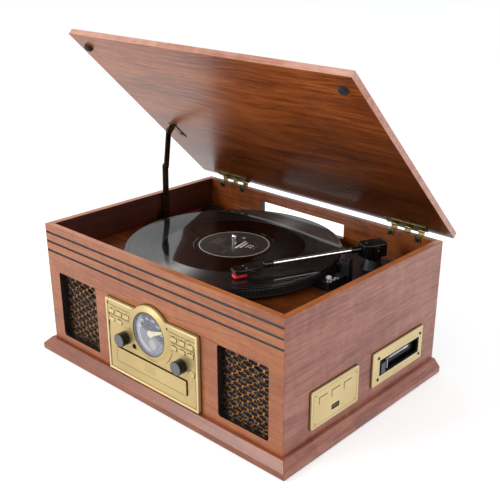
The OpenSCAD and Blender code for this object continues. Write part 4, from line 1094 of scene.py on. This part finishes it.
def make_front_details():
    jack = front_at(-32.4, 73.5)
    flat_ring("jack_ring", 2.75, 0.9, jack, BLACK_AND_SHADE, PANEL, -0.3, 0.35)
    bush = [(0, -9), (2.75, -9), (2.75, -0.2), (2.2, 0), (1.9, -0.4), (1.9, -8), (0, -8)]
    lathe("jack_bush", bush, jack, BLACK_AND_SHADE, FITTING, 32)
    face = front_at(0, 52, DRAWER_Y)
    flat_ring("drawer_mark", 4.3, 0.45, face, FAINT_INK, DRAWER)
    flat_ring("drawer_mark_hub", 1.3, 0.4, face, FAINT_INK, DRAWER)
    rays = [(-9.5, -4.6, 9.5, -4.1), (-9.5, 4.1, -5.5, 4.6), (5.5, 4.1, 9.5, 4.6), (-9.5, -4.1, -9.0, 4.1),
            (9.0, -4.1, 9.5, 4.1)]
    strips("drawer_mark_frame", rays, face, FAINT_INK, DRAWER)
    eject = front_at(76.5, 74)
    arc("eject_shade", 5.5, 1.0, 95, 230, eject, BLACK_AND_SHADE, PANEL)
    arc("eject_shade_low", 5.5, 0.6, 300, 380, eject, INK, PANEL)


def wall_screw(name, matrix, radius, height, material):
    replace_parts(cross_screw(name, matrix, radius, height, material, SCREWS), "wall_screws")


def make_side_plates():
    # Dark frames round the media and tape plates on the wood: painted shadow.
    slab("media_shadow_gap", round_outline(93.4, 52.9, 3.6), 0, 0.8, side_at(*MEDIA), BLACK_AND_SHADE, PANEL)
    outer = round_outline(116.4, 50.4, 1.6)
    inner = round_outline(100, 30, 1.6)
    ring_slab("tape_shadow_gap", outer, inner, 0, 0.8, side_at(65.5, 61.5), BLACK_AND_SHADE, PANEL)
    media = side_at(*MEDIA, X_PLATE)
    outer = round_outline(91.2, 50.7, 2.8)
    inner = round_outline(88.8, 48.3, 2.0)
    soften(ring_slab("media_rim", outer, inner, -0.2, 0.35, media, GILT_HIGHLIGHT, PANEL), 0.2)
    strips("media_border", frame_strips(42.6, -22.4, 22.4, 0.4), media, FAINT_INK, PANEL, 0.06)
    # Dark strips along each media key's left and top edges: painted shade in the gaps.
    for i in (-1, 0, 1):
        edge = [(i * 24 - 8.1, 4.3, i * 24 - 7.4, 14.2), (i * 24 - 8.1, 13.5, i * 24 + 7.6, 14.2)]
        strips(f"media_key_gap_shade_{i + 2}", edge, media, BLACK_AND_SHADE, PANEL, 0.1)
    strips("usb_rim", frame_strips(7.4, -14.1, -7.3, 1.2), media, BLACK_AND_SHADE, PANEL, 0.12)
    strips("usb_tongue", [(-5.2, -11.2, 4.4, -9.8)], media, LABEL_GREY, PANEL, -0.1)
    for i, (sy, sz) in enumerate(((-1, -1), (-1, 1), (1, -1), (1, 1))):
        tape = side_at(TAPE_OPEN[0] + sy * 48.2, TAPE_OPEN[1] + sz * 15.5, X_PLATE)
        wall_screw(f"tape_screw_{i + 1}", tape, 2.2, 0.8, DARK_SCREW)
        corner = side_at(MEDIA[0] + sy * 39, MEDIA[1] + sz * 18.75, X_PLATE)
        wall_screw(f"media_screw_{i + 1}", corner, 1.9, 0.5, GILT_KEY)


def make_wall_screws():
    """Round-headed screws in the hinge tabs and in the stay's bracket."""
    for i, x in enumerate((-187, -143, 143, 187)):
        matrix = spot(x, Y_IN_BACK - 1.2, 191.5, (0, -1, 0))
        wall_screw(f"hinge_screw_{i + 1}", matrix, 2.8, 1.2, DARK_SCREW)
    wall_screw("stay_screw", spot(-X_IN + 1.2, 37, 160.5, (1, 0, 0)), 2.6, 1.0, DARK_SCREW)


def make_cassette():
    """Smoked flap with a pale moulded edge along its top and a pale line at its front, both painted paler as
    painted reflection, a painted white glint, and a black bezel inside the plate.
    """
    flap = side_at(*TAPE_OPEN, 219.0)
    band = [(-22.5, 5.4), (20.5, 5.4), (21.5, 6.2), (21.5, 8.6), (-22.5, 8.6)]
    slab("flap_top_edge", band, -0.2, 4.5, flap, PALE_GREY_SHEEN, FLAP, 0.4)
    strips("flap_front_edge", [(-25.6, -8.6, -24.2, 8.6)], flap, PALE_GREY_SHEEN, FLAP, 3.4)
    # Painted highlight: a white glint on the flap's top edge.
    strips("flap_glint", [(9.0, 6.0, 18.5, 8.3)], flap, WHITE_KNOB_AND_GLINT, FLAP, 4.7)
    plate = side_at(*TAPE_OPEN, X_PLATE)
    bezel = round_outline(91.8, 23.2, 1.2)
    ring_slab("tape_bezel", bezel, round_outline(86.0, 19.0, 3), -2.6, -0.1, plate, BEZEL, FITTING)
    outer = round_outline(95.4, 26.8, 2.6)
    inner = round_outline(91.9, 23.3, 1.2)
    soften(ring_slab("tape_lip", outer, inner, -0.2, 0.35, plate, GILT_HIGHLIGHT, PANEL), 0.2)


def make_record():
    edge, top = 150.5, RECORD_T
    profile = [(3.6, 0.1), (3.6, top), (50.1, top), (50.3, top - 0.06), (55.8, top - 0.02),
               (56.4, top - 0.15), (98.5, top - 0.15), (99.0, top - 0.1), (146.6, top - 0.15),
               (147.3, top - 0.15), (147.9, top - 0.02), (149.3, top), (150.2, top - 0.4), (edge, top / 2),
               (150.2, 0.4), (149.3, 0.02), (147.5, 0), (3.6, 0), (3.6, 0.1)]
    place = spot(*SPINDLE, Z_RECORD)
    smooth_vinyl = vinyl("vinyl", rgb(5, 4, 4), rgb(3, 2, 2), 0.12, 0.06, 0.7)
    record = lathe("record_disc", profile, place, smooth_vinyl, DISC, 192, smooth=12)
    record.data.materials.append(vinyl("vinyl_outer", rgb(12, 11, 12), rgb(4, 4, 4), 0.5, 0.2, 0.65, 0.95))
    for face in record.data.polygons:
        if 98 < face.center.xy.length / MM < 147 and face.center.z > 0.001:
            face.material_index = 1
    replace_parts(record, "record")
    light_grooves(record)
    label_top = place @ move(0, 0, top)
    paper = [(3.7, -0.3), (3.7, 0.03), (49.8, 0.03), (50.0, 0), (50.0, -0.3)]
    lathe("record_label", paper, label_top, label_paper(), DISC, 96)
    turned = label_top @ Matrix.Rotation(LABEL_TURN, 4, "Z")
    lettering("label_speed", "33", 13, turned @ move(2, -24, 0), WHITE_PRINT, DISC)
    lettering("label_side", "A", 9, turned @ move(27, 0, 0), WHITE_PRINT, DISC)
    bold = [(-12, -10.6, 17, -7.4), (-8, -15.2, 13, -12.8)]
    strips("label_title", bold, turned, WHITE_PRINT, DISC, 0.06)
    fine = [(-14, 20, 13, 21), (-9, 25, 9, 26.2), (-12, 30, 12, 31), (-36, -3, -24, -2), (-6, -33, 10, -32)]
    strips("label_lines", fine, turned, LABEL_GREY, DISC, 0.06)


def make_platter():
    """Platter with a ribbed rim, a thin bright bead below the record and its spindle."""
    rim = [(8, 6.6), (8, 12), (62.9, 12), (62.9, 4), (66, 4), (66, 12), (142.5, 12), (142.5, 0),
           (145.6, 0), (146.2, 0.4), (146.2, 2.0), (146.5, 2.3), (146.5, 10.2), (146.2, 10.5), (145.7, 12.0),
           (146.4, 13.0), (146.5, 14.4), (145.9, 15.0), (8, 15), (8, 14.9)]
    place = spot(*SPINDLE, Z_PLATTER)
    platter = lathe("platter_disc", rim, place, PLATTER, TURNING, 720, (11, 12, 180, 0.8), 28)
    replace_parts(platter, "platter")
    pin = [(0, -13), (3.5, -13), (3.5, 28.0), (3.2, 29.4), (2.4, 30.6), (1.2, 31.2), (0, 31.3)]
    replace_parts(lathe("spindle", pin, place, CHROME, TURNING, 40), "platter")


def arm_matrix(z=Z_TUBE):
    return move(ARM[0], ARM[1] + DY, z) @ Matrix.Rotation(ARM_TURN, 4, "Z")


def head_matrix(z):
    return arm_matrix(z) @ move(TUBE_LEN, 0, 0) @ Matrix.Rotation(HEAD_BEND, 4, "Z")


def make_tonearm():
    """Chrome tube with a collar, in a faceted black housing on its lift pin."""
    along = Matrix.Rotation(pi / 2, 4, "Y")
    tube = [(0, 0), (2.7, 0), (2.7, TUBE_LEN - 0.4), (2.3, TUBE_LEN), (0, TUBE_LEN)]
    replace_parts(lathe("arm_tube", tube, arm_matrix() @ along, CHROME, ARM_PART, 40), "tonearm")
    collar = [(0, 14), (4.6, 14), (4.6, 17), (4.2, 17.6), (4.2, 31), (3.8, 33), (2.8, 34), (0, 34)]
    lathe("arm_collar", collar, arm_matrix() @ along, GLOSS, ARM_PART, 40)
    top = 7.5
    shape = [(-18, -9), (-15, -12), (13, -12), (18, -8), (18, 8), (13, 12), (-15, 12), (-18, 9)]
    slab("arm_housing", shape, 172.1 - Z_TUBE, top, arm_matrix(), GLOSS, ARM_PART, 1.6, 4)
    pin = [(0, -15.2), (1.6, -15.2), (1.6, 15.2), (0, 15.2)]
    lathe("arm_pivot_pin", pin, arm_matrix() @ Matrix.Rotation(pi / 2, 4, "X"), STEEL, ARM_PART, 24)
    cross_screw("arm_screw", arm_matrix() @ move(10, 0, top), 1.8, 0.5, STEEL, ARM_PART)


def make_headshell():
    """Black shell with a sleeve, a cartridge, two screws and a bright finger lift."""
    place = head_matrix(Z_TUBE + HEAD_TOP)
    along = Matrix.Rotation(pi / 2, 4, "Y")
    sleeve = [(2.75, TUBE_LEN - 12), (4.1, TUBE_LEN - 12), (4.1, TUBE_LEN + 1.4), (3.5, TUBE_LEN + 2),
              (0, TUBE_LEN + 2), (0, TUBE_LEN + 0.1), (2.75, TUBE_LEN + 0.1), (2.75, TUBE_LEN - 12)]
    lathe("head_sleeve", sleeve, arm_matrix() @ along, GLOSS, HEAD, 40)
    shape = [(1.5, -6), (9, -9.5), (HEAD_L - 6, -9.5), (HEAD_L, -6.5), (HEAD_L, 6.5), (HEAD_L - 6, 9.5),
             (9, 9.5), (1.5, 6)]
    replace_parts(slab("head_shell", shape, -4, 0, place, GLOSS, HEAD, 1.2, 4), "headshell")
    block = [(x + HEAD_L - 14, y) for x, y in round_outline(24, 14, 1.5, 3)]
    slab("cartridge", block, -7, -3.9, place, BLACK, HEAD, 0.4)
    for i, y in enumerate((-4.8, 4.8)):
        screw = place @ move(HEAD_L - 17, y, 0)
        cross_screw(f"cartridge_screw_{i + 1}", screw, 1.5, 0.5, STEEL, HEAD)
    guard = [(x + HEAD_L - 9.5, y) for x, y in round_outline(18, 11, 2.2, 4)]
    stylus = slab("stylus_guard", guard, -11.6, -6.9, place, RED, ("arm", "stylus_red"), 0.9, 3)
    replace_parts(stylus, "stylus")
    points = []
    for y, z in ((9.2, -2.0), (12, -2.0), (15, -1.6), (18, -0.6), (20.5, 0.9), (21.5, 1.9)):
        wide = 1.5 if y < 19 else 1.1
        points += [(25.5 + side * wide, y, z + up) for side, up in ((-1, 0), (1, 0), (1, 0.8), (-1, 0.8))]
    bar("finger_lift", points, place, CHROME, HEAD, 60)


def make_deck_details():
    top = Z_DECK + 3 + 9
    for number, y in (("33", 10), ("45", 17.5), ("78", 25)):
        place = spot(147.6, y, top, spin=0.7)
        lettering(f"speed_{number}", number, 7.2, place, WHITE_PRINT, FITTING, 0.1)
    marks = [(136.0, 12, 138.0, 12.8), (136.0, 19.6, 138.0, 20.4), (136.0, 27.2, 138.0, 28.0),
             (144.8, 31.0, 150.0, 32.2), (144.8, 35.0, 150.0, 36.2)]
    strips("speed_marks", marks, spot(0, 0, top), WHITE_PRINT, FITTING, 0.1)


make_camera()
make_world()
make_floor()
make_lights()
dress_nodes()
make_feet()
make_bumpers()
for sign, side_name in SIDES:
    make_grille(sign, side_name)
make_faceplate()
make_key_signs()
make_dial()
make_knob("tuning_knob", KNOB_SHIFT + KNOB_X)
make_knob("volume_knob", KNOB_SHIFT - KNOB_X)
make_key_outlines()
make_front_details()
make_side_plates()
make_wall_screws()
make_cassette()
make_record()
make_platter()
make_tonearm()
make_headshell()
make_deck_details()

bpy.context.scene.view_settings.view_transform = "Standard"
bpy.context.view_layer.update()
